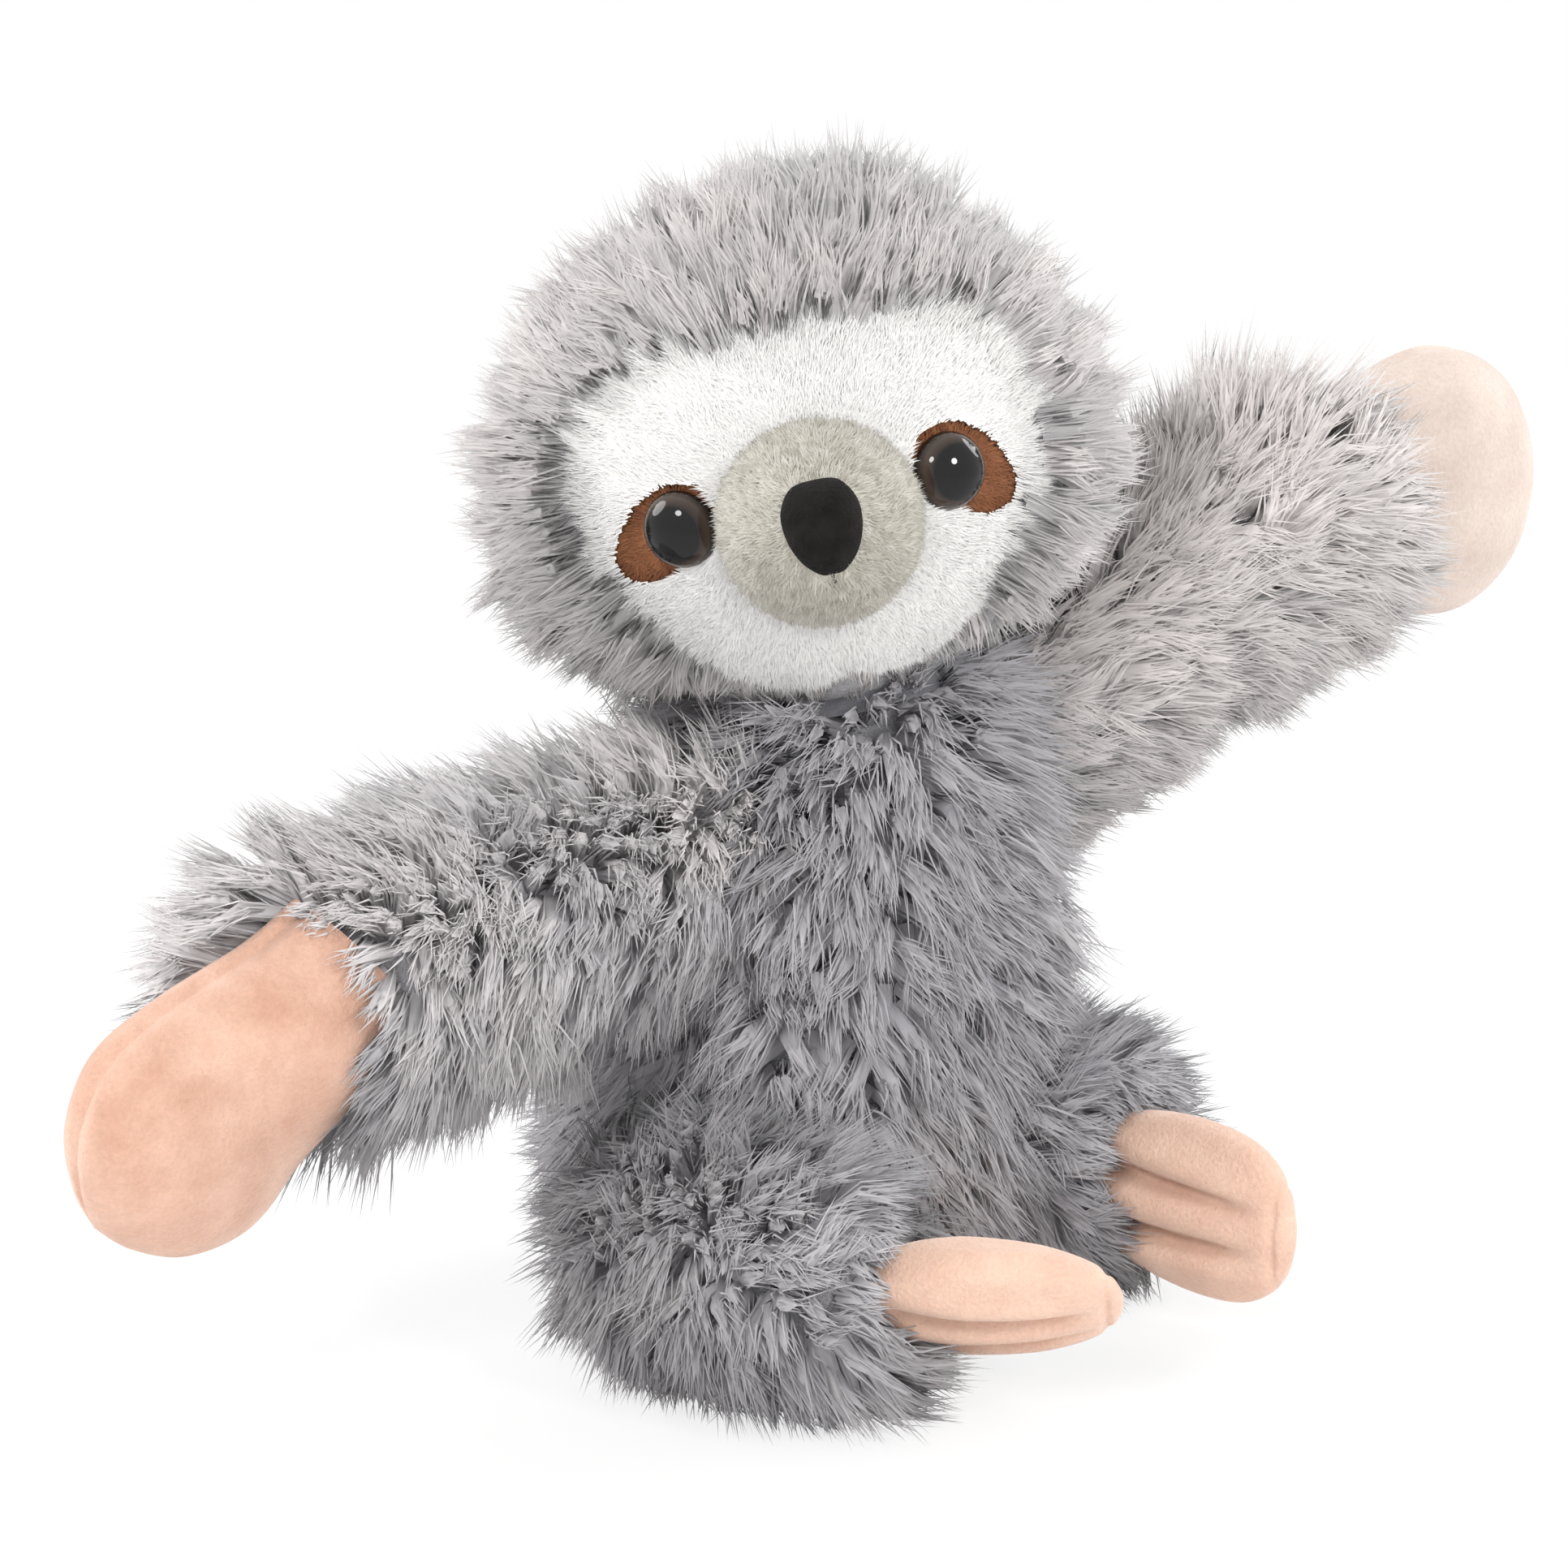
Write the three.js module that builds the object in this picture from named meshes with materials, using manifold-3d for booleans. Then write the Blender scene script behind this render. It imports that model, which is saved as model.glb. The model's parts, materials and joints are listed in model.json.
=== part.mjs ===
// A seated plush sloth with hugging arms, built as its sewn shells, stuffing, snap bands and eyes.
// Millimetres, +Z up. The origin is the middle of the flat seat; the face looks along -Y.
import * as THREE from "three";
import { mergeVertices } from "three/addons/utils/BufferGeometryUtils.js";
import Module from "manifold-3d";

const wasm = await Module();
wasm.setup();

// Fabrics and clearances
const gap = 0.3; // between pieces that touch
const cutterSize = 500; // side of the block that a flat cut is made with
const longPile = 8.5; // grey fur fabric: backing and the dense part of its pile
const facePile = 3.6; // white face plush
const velour = 1.6; // muzzle, hands and feet
const patchPile = 1.8; // brown eye patches
const noseThickness = 1.7; // black velour nose

// Torso: radii are those of the stuffing
const seatRadius = 30;
const seatHeight = 26; // height of the widest place
const chestRadius = 24.5;
const chestHeight = 70;
const shoulderHeight = 88;
const torsoDepthShare = 0.95;
const torsoLowShares = [[0, 0.62], [0.25, 0.86], [1, 1]]; // of the seat's height and radius
const torsoWaistShare = 0.51; // of the seat's and the chest's radius together
const torsoTopShares = [[0, 1], [0.6, 0.84], [1, 0.56]]; // from the chest to the shoulders
const seatPileShare = 0.6; // of the pile that stays under the stuffing
const pelletBagRiseShare = 0.4;
const baseThickness = 5; // fur squashed flat under the seat
const baseSink = 1.2; // how much of the round bottom the flat seat takes away
const pelletBagRadius = 11;
const pelletBagHeight = 16;
const pelletBagX = -6;
const pelletBagY = 6.5;

// Neck: the torso ends in a ball that the head turns on
const neckX = 11.6;
const neckY = -3;
const neckZ = 99;
const neckBallRadius = 20;
const neckCoreRadius = 12.5;
const neckThreadWidth = 3.4;
const neckThreadThickness = 1.5;
const neckThreadAngle = 17; // degrees above the ball's equator
const headTiltAngle = 12; // degrees, towards the sloth's right shoulder
const headYawAngle = 3;

// Head: half sizes are those of the stuffing
const headHalfWide = 40;
const headHalfDeep = 36;
const headHalfHigh = 35.5;
const headRise = 42.5; // neck pivot to head centre
const headForward = 3;
const cheekShare = 0.025; // how much wider the cheeks are than the crown

// Face panel outline, seen from the front, about the head's centre
const faceHalfWide = 36.4;
const faceTop = 25.5;
const faceBottom = 30;
const chinNotch = 2;

// Muzzle and nose
const muzzleRadius = 15.7;
const muzzleLength = 24; // half length of the whole egg that the muzzle is a part of
const muzzleReach = 34; // muzzle egg's centre, forward of the head's centre
const muzzleDrop = 3.2; // muzzle's middle, below the head's centre
const muzzlePitchAngle = 3; // degrees upwards
const muzzleRootShare = 0.5; // of the head's half depth, where the stuffed muzzle starts
const muzzleEdgeShare = 0.7; // where its fabric starts
const noseHalfWide = 6.2;
const noseTop = 6.6;
const noseBottom = 7.5;
const noseLift = 2; // above the muzzle's foremost point

// Eyes: plastic domes on ribbed stems, held by washers
const eyeRadius = 6.1;
const eyeBulge = 4.6;
const eyeX = 20.7;
const eyeZ = -0.4; // from the head's centre
const stemRadius = 2.1;
const stemRibRadius = 2.5;
const stemLength = 13;
const stemRibPitch = 2.6;
const stemTipShare = 0.6;
const washerRadius = 6.5;
const washerThickness = 1.4;
const washerDepth = 3.4; // washer's front, behind the patch's surface
const patchHalfLong = 10.3;
const patchHalfWide = 7;
const patchShift = 2.5; // patch centre, outwards of the eye
const patchSink = 1.4; // patch centre, below the eye
const patchDropAngle = 39; // degrees, how its outer end droops
const patchTaperShare = 0.16; // how much narrower its outer end is

// Arms, along x from the shoulder pivot
const shoulderBallRadius = 18;
const shoulderReach = 28; // torso axis to pivot
const shoulderZ = 78;
const shoulderLift = 8; // the left shoulder is pushed up by its raised arm
const armRadius = 19.8;
const armRootRadius = 16.5;
const cuffRadius = 20.2;
const armDepthShare = 0.88;
const upperArmShare = 0.97; // radius halfway to the elbow
const armCoreRadius = 12.8;
const armCoreDepthShare = 0.74;
const elbowReach = 38;
const wristReach = 73;
const handLength = 46; // wrist pivot to finger tips
const handHalfWide = 23;
const handBaseHalfWide = 13.2;
const handDroopAngle = 30; // degrees, hand below the arm's line
const handDepthShare = 0.5;
const rightHandRollAngle = -18; // degrees about the hand's own length, which turns the palm down
const leftHandRollAngle = 0;
const handHeelShares = [0.8, 0.9]; // the hand's end inside the cuff, of its base's half width
const handProfileShares = [[0.35, 0.93], [0.62, 1], [0.84, 0.76], [0.96, 0.36], [1, 0]];
const wristHalfDeep = 7.6;
const armpitAngle = 38; // degrees, underside of the arm's root
const armTopAngle = 72; // degrees, top of the arm's root
const elbowCutAngle = 31; // degrees cut from each side of the elbow's inner face
const wristCuffCutAngle = 13;
const wristHandCutAngle = 30;
const rightArmHeadingAngle = 213; // degrees from +X about +Z
const rightArmRiseAngle = -10;
const leftArmHeadingAngle = 30;
const leftArmRiseAngle = 32;

// Snap bands: cambered spring-steel strips in cloth sleeves
const bandWidth = 15;
const bandThickness = 0.4;
const bandCamberRadius = 26;
const bandStart = 7;
const bandLength = 72;
const sleeveWall = 0.6;
const sleeveSlack = 0.6; // free depth inside the sleeve

// Legs, along a curved line from the hip pivot
const hipBallRadius = 17.2;
const rightHipZ = 18.6;
const leftHipZ = 24;
const hipCutReach = 13; // where the leg starts outside the torso
const legRadius = 19.4;
const legRootRadius = 16.5;
const ankleRadius = 18.4;
const rightAnkleDrop = 0; // ankle pivot below the hip pivot
const leftAnkleDrop = 3;
const legCoreRadius = 10.5;
const legCoreRootRadius = 7;
const legFullShares = [0.35, 0.7]; // between these the leg is at its widest
const legCoreEndShare = 0.5; // of the ankle ball's radius, past the ankle
const rightLegLength = 48;
const leftLegLength = 27;
const legOpenAngle = 32; // degrees that the root is cut back for, outwards
const legCloseAngle = 12;
const rightHipX = -16;
const rightHipY = -26;
const rightLegHeadingAngle = -80;
const rightLegTurnAngle = 74;
const leftHipX = 29.6;
const leftHipY = 5;
const leftLegHeadingAngle = -4;
const leftLegTurnAngle = -36;

// Feet: three toes side by side
const footLength = 36.5;
const toeRadius = 6.7;
const toeDepthShare = 0.98;
const toePitch = 8.3; // between neighbouring toes
const toeFanAngle = -3; // the toes draw together
const sideToeShare = 0.95; // length of an outer toe
const toeRootShares = [0.5, 0.66]; // behind the ankle, of the toe's radius
const toeProfileShares = [[0.2, 0.96], [0.44, 1], [0.72, 0.88], [0.91, 0.54], [1, 0]];
const ankleBallRadius = 10.4;
const ankleCutAngle = 14;
const footCoreInset = 3;
const footCoreBackShare = 0.4; // of the ankle ball's radius
const rightFootRollAngle = 52; // degrees about the foot's own length
const leftFootRollAngle = 6;
const leftFootPitchAngle = 5; // degrees downwards

// How finely round shapes are divided
const aroundHead = 20;
const aroundTorso = 20;
const aroundMuzzle = 14;
const aroundLimb = 14;
const aroundBall = 13;
const aroundHinge = 14;
const hingeRings = 6;
const aroundCore = 10;
const aroundToe = 9;
const aroundSmall = 10;
const torsoSteps = 9;
const armSteps = 5;
const handSteps = 8;
const legSteps = 6;
const toeSteps = 6;
const coreSteps = 5;
const outlineSteps = 22;
const straightSteps = 2;
const domeSteps = 5;
const patchSteps = 12;
const bandSteps = 5;
const ringShare = 0.6; // rings on a ball for each facet around it

const xAxis = new THREE.Vector3(1, 0, 0);
const yAxis = new THREE.Vector3(0, 1, 0);
const zAxis = new THREE.Vector3(0, 0, 1);
const forwards = new THREE.Vector3(0, -1, 0);
const radians = THREE.MathUtils.degToRad;

const colour = (hex, roughness = 0.9, metalness = 0) =>
  new THREE.MeshStandardMaterial({ color: hex, roughness, metalness });
const greyFur = colour(0x8f9096, 0.95);
const whitePlush = colour(0xf4f1ec, 0.95);
const paleVelour = colour(0xb9b6a6, 0.85);
const peachVelour = colour(0xf0bfa2, 0.85);
const brownVelour = colour(0x8a4a20, 0.85);
const blackVelour = colour(0x121212, 0.9);
const eyePlastic = colour(0x140c08, 0.08);
const washerPlastic = colour(0xe8e8e4, 0.5);
const fibreFill = colour(0xf7f7f5, 1);
const calico = colour(0xe9e2d2, 0.95);
const springSteel = colour(0xb8bcc0, 0.3, 1);
const greyThread = colour(0x77787e, 0.9);

// A closed three.js geometry as a manifold-3d solid.
function solidOf(geometry) {
  const bare = geometry.clone();
  bare.deleteAttribute("normal");
  bare.deleteAttribute("uv");
  const merged = mergeVertices(bare, 1e-4);
  const mesh = new wasm.Mesh({
    numProp: 3,
    vertProperties: merged.attributes.position.array,
    triVerts: new Uint32Array(merged.index.array),
  });
  return new wasm.Manifold(mesh);
}

// A manifold-3d solid as a named three.js mesh.
function meshOf(solid, name, material) {
  const { vertProperties, triVerts } = solid.getMesh();
  const geometry = new THREE.BufferGeometry();
  geometry.setAttribute("position", new THREE.BufferAttribute(vertProperties, 3));
  geometry.setIndex(new THREE.BufferAttribute(triVerts, 1));
  geometry.computeVertexNormals();
  const mesh = new THREE.Mesh(geometry, material);
  mesh.name = name;
  return mesh;
}

// A smooth profile of [along, radius] pairs turned about the x axis; flat ends are closed.
function turned(profile, around, steps, depthShare = 1) {
  const ends = profile.map(([along, radius]) => new THREE.Vector2(radius, along));
  const curve = new THREE.SplineCurve(ends);
  const points = curve.getPoints(steps).map((p) => new THREE.Vector2(Math.max(p.x, 0), p.y));
  const first = points[0];
  const last = points[points.length - 1];
  if (first.x > 0) points.unshift(new THREE.Vector2(0, first.y));
  if (last.x > 0) points.push(new THREE.Vector2(0, last.y));
  const geometry = new THREE.LatheGeometry(points, around);
  geometry.rotateZ(-Math.PI / 2);
  geometry.scale(1, depthShare, 1);
  return geometry;
}

const ringsFor = (around) => Math.round(around * ringShare);

// A ball, or an egg where its three half sizes differ, with its poles on the z axis.
function egg(halfX, halfY = halfX, halfZ = halfX, around = aroundBall, rings = ringsFor(around)) {
  const geometry = new THREE.SphereGeometry(1, around, rings);
  geometry.rotateX(Math.PI / 2);
  geometry.scale(halfX, halfY, halfZ);
  return geometry;
}

// The room for a ball: its flat facets all lie outside the radius, so the ball turns freely in it.
function socket(radius, around = aroundBall) {
  const clear = radius / (Math.cos(Math.PI / around) * Math.cos(Math.PI / (ringsFor(around) * 2)));
  return egg(clear, clear, clear, around);
}

// The largest body of a solid, without the crumbs that a cut can leave beside it.
function mainBody(solid) {
  const bodies = solid.decompose();
  return bodies.reduce((largest, one) => (one.volume() > largest.volume() ? one : largest));
}

// Keeps what lies at least `from` along a direction.
function keepBeyond(solid, direction, from) {
  const block = new THREE.BoxGeometry(cutterSize, cutterSize, cutterSize);
  block.translate(from - cutterSize / 2, 0, 0);
  const turn = new THREE.Quaternion().setFromUnitVectors(xAxis, direction.clone().normalize());
  block.applyQuaternion(turn);
  return solid.subtract(solidOf(block));
}

// A closed smooth outline through points given as [x, z], extruded forwards along -Y.
function outlineBlock(points, from, to) {
  const curve = new THREE.CatmullRomCurve3(
    points.map(([x, z]) => new THREE.Vector3(x, z, 0)),
    true,
  );
  const shape = new THREE.Shape(
    curve.getPoints(outlineSteps).slice(0, -1).map((p) => new THREE.Vector2(p.x, p.y)),
  );
  const block = new THREE.ExtrudeGeometry(shape, { depth: to - from, bevelEnabled: false });
  block.translate(0, 0, from);
  block.rotateX(Math.PI / 2);
  return block;
}

// Torso

const neckPlace = new THREE.Vector3(neckX, neckY, neckZ);
const atHeight = (z) => neckPlace.clone().multiplyScalar(z / neckZ);

// The torso is turned upright and then leans so that its axis meets the neck pivot.
function torsoForm(extra, around) {
  const seat = seatRadius + extra;
  const chest = chestRadius + extra;
  const bottom = (longPile - extra) * seatPileShare - baseSink;
  const top = shoulderHeight + extra - longPile;
  const profile = [
    ...torsoLowShares.map(([up, wide]) => [bottom + (seatHeight - bottom) * up, seat * wide]),
    [(seatHeight + chestHeight) / 2, (seat + chest) * torsoWaistShare],
    ...torsoTopShares.map(([up, wide]) => [chestHeight + (top - chestHeight) * up, chest * wide]),
  ];
  const geometry = turned(profile, around, torsoSteps, torsoDepthShare);
  geometry.rotateY(-Math.PI / 2);
  const lean = new THREE.Matrix4().set(
    1, 0, neckX / neckZ, 0,
    0, 1, neckY / neckZ, 0,
    0, 0, 1, 0,
    0, 0, 0, 1,
  );
  return geometry.applyMatrix4(lean);
}

const armHeading = { right: radians(rightArmHeadingAngle), left: radians(leftArmHeadingAngle) };
const armRise = { right: radians(rightArmRiseAngle), left: radians(leftArmRiseAngle) };

function shoulderPlace(side) {
  const z = side === "left" ? shoulderZ + shoulderLift : shoulderZ;
  const place = atHeight(z);
  place.x += shoulderReach * Math.cos(armHeading[side]);
  place.y += shoulderReach * Math.sin(armHeading[side]);
  return place;
}

const hipPlace = {
  right: new THREE.Vector3(rightHipX, rightHipY, rightHipZ),
  left: new THREE.Vector3(leftHipX, leftHipY, leftHipZ),
};

function placed(geometry, place) {
  return solidOf(geometry.translate(place.x, place.y, place.z));
}

function torsoParts() {
  const neckProfile = [[chestHeight, neckCoreRadius], [neckZ + neckBallRadius, neckCoreRadius]];
  const neckColumn = turned(neckProfile, aroundCore, straightSteps);
  neckColumn.rotateY(-Math.PI / 2);
  neckColumn.translate(neckX, neckY, 0);
  const column = solidOf(neckColumn);
  const columnRoom = solidOf(neckColumn.clone().translate(-neckX, -neckY, -neckZ)
    .scale(1 + gap / neckCoreRadius, 1 + gap / neckCoreRadius, 1).translate(neckX, neckY, neckZ));
  let whole = solidOf(torsoForm(longPile, aroundTorso)).add(placed(egg(neckBallRadius), neckPlace));
  for (const side of ["right", "left"]) {
    whole = whole.subtract(placed(socket(shoulderBallRadius + gap), shoulderPlace(side)));
    whole = whole.subtract(placed(socket(hipBallRadius + gap), hipPlace[side]));
  }
  whole = keepBeyond(whole, zAxis, 0);
  const core = keepBeyond(solidOf(torsoForm(0, aroundCore)).add(column),
    zAxis, baseThickness + gap);
  const coreRoom = keepBeyond(solidOf(torsoForm(gap, aroundCore)).add(columnRoom),
    zAxis, baseThickness);
  const bagLow = baseThickness + gap;
  const bagForm = (grow) => {
    const wide = pelletBagRadius + grow;
    const form = egg(wide, wide, pelletBagHeight + grow, aroundCore);
    return solidOf(form.translate(pelletBagX, pelletBagY, bagLow + pelletBagHeight * pelletBagRiseShare));
  };
  const bagSolid = keepBeyond(bagForm(0), zAxis, bagLow);
  const bagRoom = bagForm(gap);
  return [
    meshOf(whole.subtract(coreRoom), "torso_skin", greyFur),
    meshOf(whole.intersect(core).subtract(bagRoom), "torso_stuffing", fibreFill),
    meshOf(bagSolid, "pellet_bag", calico),
  ];
}

// Head, in a frame at the neck pivot

function headForm(extra, around = aroundHead) {
  const geometry = egg(headHalfWide + extra, headHalfDeep + extra, headHalfHigh + extra, around);
  const place = geometry.attributes.position;
  for (let i = 0; i < place.count; i += 1) {
    const height = place.getZ(i) / (headHalfHigh + extra);
    place.setX(i, place.getX(i) * (1 + cheekShare * Math.cos(Math.PI * height)));
  }
  geometry.translate(0, -headForward, headRise);
  return geometry;
}

// Right half of the face panel's outline as shares of its half width, top and bottom.
const faceOutlineShares = [
  [0.28, 0.98], [0.62, 0.93], [0.88, 0.7], [1, 0.32], [0.98, -0.02], [0.87, -0.32],
  [0.66, -0.68], [0.4, -0.92], [0.16, -1],
];

function faceOutline(grow) {
  const half = faceOutlineShares.map(([wide, high]) => [
    wide * (faceHalfWide + grow),
    high * ((high > 0 ? faceTop : faceBottom) + grow),
  ]);
  const notch = [0, chinNotch - faceBottom - grow];
  const left = half.map(([x, z]) => [-x, z]).reverse();
  const outline = [...half, notch, ...left];
  return outline.map(([x, z]) => [x, z + headRise]);
}

function muzzleForm(shrink) {
  const radius = muzzleRadius - shrink;
  const form = egg(radius, muzzleLength - shrink, radius, aroundMuzzle);
  form.rotateX(-radians(muzzlePitchAngle));
  form.translate(0, -headForward - muzzleReach, headRise - muzzleDrop);
  return form;
}

// Right half of the nose's outline as shares of its half width, top and bottom.
const noseOutlineShares = [
  [0, 1], [0.62, 0.86], [0.98, 0.36], [0.92, -0.2], [0.55, -0.72], [0.14, -1],
];

function noseOutline() {
  const muzzleRise = muzzleLength * Math.sin(radians(muzzlePitchAngle));
  const noseHeight = headRise - muzzleDrop + muzzleRise + noseLift;
  const right = noseOutlineShares.map(([wide, high]) => [
    wide * noseHalfWide,
    high * (high > 0 ? noseTop : noseBottom) + noseHeight,
  ]);
  const left = right.slice(1).map(([x, z]) => [-x, z]).reverse();
  return [...right, ...left];
}

// The frame of an eye: on the patch's surface, with its x axis pointing out of the face.
function eyeFrame(sign) {
  const wide = headHalfWide + patchPile;
  const deep = headHalfDeep + patchPile;
  const high = headHalfHigh + patchPile;
  const y = -deep * Math.sqrt(1 - (eyeX / wide) ** 2 - (eyeZ / high) ** 2);
  const out = new THREE.Vector3(sign * eyeX / wide ** 2, y / deep ** 2, eyeZ / high ** 2).normalize();
  const turn = new THREE.Quaternion().setFromUnitVectors(xAxis, out);
  const place = new THREE.Vector3(sign * eyeX, y - headForward, eyeZ + headRise);
  return new THREE.Matrix4().compose(place, turn, new THREE.Vector3(1, 1, 1));
}

function eyeGeometry() {
  const points = [new THREE.Vector2(0, -stemLength)];
  points.push(new THREE.Vector2(stemRadius * stemTipShare, -stemLength));
  const ribs = Math.floor(stemLength / stemRibPitch) - 1;
  for (let i = ribs; i > 0; i -= 1) {
    points.push(new THREE.Vector2(stemRadius, -i * stemRibPitch - stemRibPitch / 2));
    points.push(new THREE.Vector2(stemRibRadius, -i * stemRibPitch));
  }
  points.push(new THREE.Vector2(stemRadius, -stemRibPitch / 2));
  points.push(new THREE.Vector2(stemRadius, gap));
  for (let i = 0; i <= domeSteps; i += 1) {
    const turn = (Math.PI / 2) * (i / domeSteps);
    const radius = i === domeSteps ? 0 : eyeRadius * Math.cos(turn);
    points.push(new THREE.Vector2(radius, gap + eyeBulge * Math.sin(turn)));
  }
  const geometry = new THREE.LatheGeometry(points, aroundSmall);
  geometry.rotateZ(-Math.PI / 2);
  return geometry;
}

function washerGeometry() {
  const inner = stemRibRadius + gap;
  const near = -washerDepth;
  const far = near - washerThickness;
  const points = [
    new THREE.Vector2(inner, near),
    new THREE.Vector2(inner, far),
    new THREE.Vector2(washerRadius, far),
    new THREE.Vector2(washerRadius, near),
    new THREE.Vector2(inner, near),
  ];
  const geometry = new THREE.LatheGeometry(points, aroundSmall);
  geometry.rotateZ(-Math.PI / 2);
  return geometry;
}

// The pocket in the stuffing for an eye's stem and washer.
function eyePocket(frame) {
  const wide = washerRadius + gap;
  const narrow = stemRibRadius + gap;
  const washerEnd = -washerDepth - washerThickness - gap;
  const points = [
    new THREE.Vector2(0, -stemLength - gap),
    new THREE.Vector2(narrow, -stemLength - gap),
    new THREE.Vector2(narrow, washerEnd),
    new THREE.Vector2(wide, washerEnd),
    new THREE.Vector2(wide, longPile),
    new THREE.Vector2(0, longPile),
  ];
  const geometry = new THREE.LatheGeometry(points, aroundSmall);
  geometry.rotateZ(-Math.PI / 2);
  return solidOf(geometry.applyMatrix4(frame));
}

function stemHole(frame) {
  const radius = stemRibRadius + gap;
  const hole = new THREE.CylinderGeometry(radius, radius, stemLength, aroundSmall);
  hole.rotateZ(-Math.PI / 2);
  return solidOf(hole.applyMatrix4(frame));
}

function patchBlock(sign, grow) {
  const points = [];
  for (let i = 0; i < patchSteps; i += 1) {
    const turn = (i / patchSteps) * 2 * Math.PI;
    const along = (patchHalfLong + grow) * Math.cos(turn);
    const narrowing = 1 - patchTaperShare * Math.cos(turn);
    const across = (patchHalfWide + grow) * Math.sin(turn) * narrowing;
    const drop = radians(patchDropAngle);
    const x = eyeX + patchShift + along * Math.cos(drop) + across * Math.sin(drop);
    const z = eyeZ + headRise - patchSink - along * Math.sin(drop) + across * Math.cos(drop);
    points.push([sign * x, z]);
  }
  return solidOf(outlineBlock(sign > 0 ? points : points.reverse(), 0, cutterSize));
}

// A ring on the neck ball, whose flat facets all lie outside the ball, or with `grow` its room.
function neckThread(grow) {
  const facet = 1 / Math.cos(Math.PI / aroundBall);
  const half = neckThreadWidth / 2 / neckBallRadius;
  const low = radians(neckThreadAngle) - half;
  const high = radians(neckThreadAngle) + half;
  const inner = neckBallRadius + gap;
  const outer = inner + neckThreadThickness;
  const inwards = grow > 0 ? neckThreadThickness : 0;
  const clear = grow > 0 ? facet : 1;
  const outside = (turn, up) => new THREE.Vector2(
    (outer * Math.cos(turn) * facet + grow) * clear,
    outer * Math.sin(turn) + up,
  );
  const inside = (turn, up) => new THREE.Vector2(
    inner * Math.cos(turn) * facet - inwards,
    inner * Math.sin(turn) + up,
  );
  const points = [
    outside(low, -grow), outside(high, grow), inside(high, grow), inside(low, -grow),
    outside(low, -grow),
  ];
  const geometry = new THREE.LatheGeometry(points, aroundBall);
  geometry.rotateX(Math.PI / 2);
  return geometry;
}

function headParts() {
  const neckRoom = solidOf(socket(neckBallRadius + gap));
  const threadRoom = solidOf(neckThread(gap));
  const whole = solidOf(headForm(longPile)).subtract(neckRoom).subtract(threadRoom);
  const coreForm = solidOf(headForm(0));
  const coreRoom = solidOf(headForm(gap));
  const faceBlock = solidOf(outlineBlock(faceOutline(0), 0, cutterSize));
  const faceRoom = solidOf(outlineBlock(faceOutline(gap), 0, cutterSize));
  const frames = [eyeFrame(1), eyeFrame(-1)];
  const patches = [patchBlock(1, 0), patchBlock(-1, 0)];
  const patchRooms = [patchBlock(1, gap), patchBlock(-1, gap)];
  const muzzle = solidOf(muzzleForm(0));
  const muzzleRoom = solidOf(muzzleForm(-gap));
  const muzzleCore = solidOf(muzzleForm(velour + gap));
  const muzzleCoreRoom = solidOf(muzzleForm(velour));

  let core = coreForm.subtract(neckRoom).subtract(threadRoom);
  core = core.add(keepBeyond(muzzleCore, forwards, headHalfDeep * muzzleRootShare));
  let panel = solidOf(headForm(facePile)).subtract(coreRoom).intersect(faceBlock);
  panel = panel.subtract(muzzleRoom);
  const skin = whole.subtract(coreRoom).subtract(faceRoom);
  const patchShell = solidOf(headForm(patchPile)).subtract(coreRoom);
  const parts = [];
  ["left", "right"].forEach((side, i) => {
    core = core.subtract(eyePocket(frames[i]));
    panel = panel.subtract(patchRooms[i]);
    const patch = patchShell.intersect(patches[i]).subtract(muzzleRoom).subtract(stemHole(frames[i]));
    parts.push(meshOf(patch, side + "_eye_patch", brownVelour));
    const eye = new THREE.Mesh(eyeGeometry().applyMatrix4(frames[i]), eyePlastic);
    eye.name = side + "_eye";
    const washer = new THREE.Mesh(washerGeometry().applyMatrix4(frames[i]), washerPlastic);
    washer.name = side + "_eye_washer";
    parts.push(eye, washer);
  });
  const muzzleShell = muzzle.subtract(muzzleCoreRoom).subtract(coreRoom);
  const front = keepBeyond(muzzleShell, forwards, headHalfDeep * muzzleEdgeShare);
  const noseBlock = solidOf(outlineBlock(noseOutline(), headHalfDeep, cutterSize));
  const noseShell = solidOf(muzzleForm(-gap - noseThickness)).subtract(muzzleRoom);
  const nose = noseShell.intersect(noseBlock);
  parts.push(
    meshOf(skin, "head_skin", greyFur),
    meshOf(core, "head_stuffing", fibreFill),
    meshOf(mainBody(panel), "face_panel", whitePlush),
    meshOf(front, "muzzle", paleVelour),
    meshOf(nose, "nose", blackVelour),
  );
  return parts;
}

// Arms. x runs along the arm, z is up, and the palm faces front * y.

// The side of a hinge at x = 0 that belongs to the outer piece.
function outerSide(solid, front, cutAngle) {
  const cut = radians(cutAngle);
  const square = keepBeyond(solid, xAxis, gap / 2);
  return keepBeyond(square, new THREE.Vector3(Math.cos(cut), -front * Math.sin(cut), 0), gap / 2);
}

// The side of a hinge at x = 0 that belongs to the inner piece.
function innerSide(solid, front, cutAngle) {
  const cut = radians(cutAngle);
  const square = keepBeyond(solid, new THREE.Vector3(-1, 0, 0), gap / 2);
  return keepBeyond(square, new THREE.Vector3(-Math.cos(cut), -front * Math.sin(cut), 0), gap / 2);
}

function armTube() {
  const profile = [
    [0, armRootRadius],
    [elbowReach / 2, armRadius * upperArmShare],
    [elbowReach, armRadius],
    [(elbowReach + wristReach) / 2, armRadius],
    [wristReach, cuffRadius],
    [wristReach + cuffRadius, cuffRadius],
  ];
  return solidOf(turned(profile, aroundLimb, armSteps, armDepthShare));
}

function armCore(grow) {
  const radius = armCoreRadius + grow;
  const profile = [[-armCoreRadius, radius], [wristReach + armCoreRadius, radius]];
  return solidOf(turned(profile, aroundCore, straightSteps, armCoreDepthShare));
}

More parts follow.
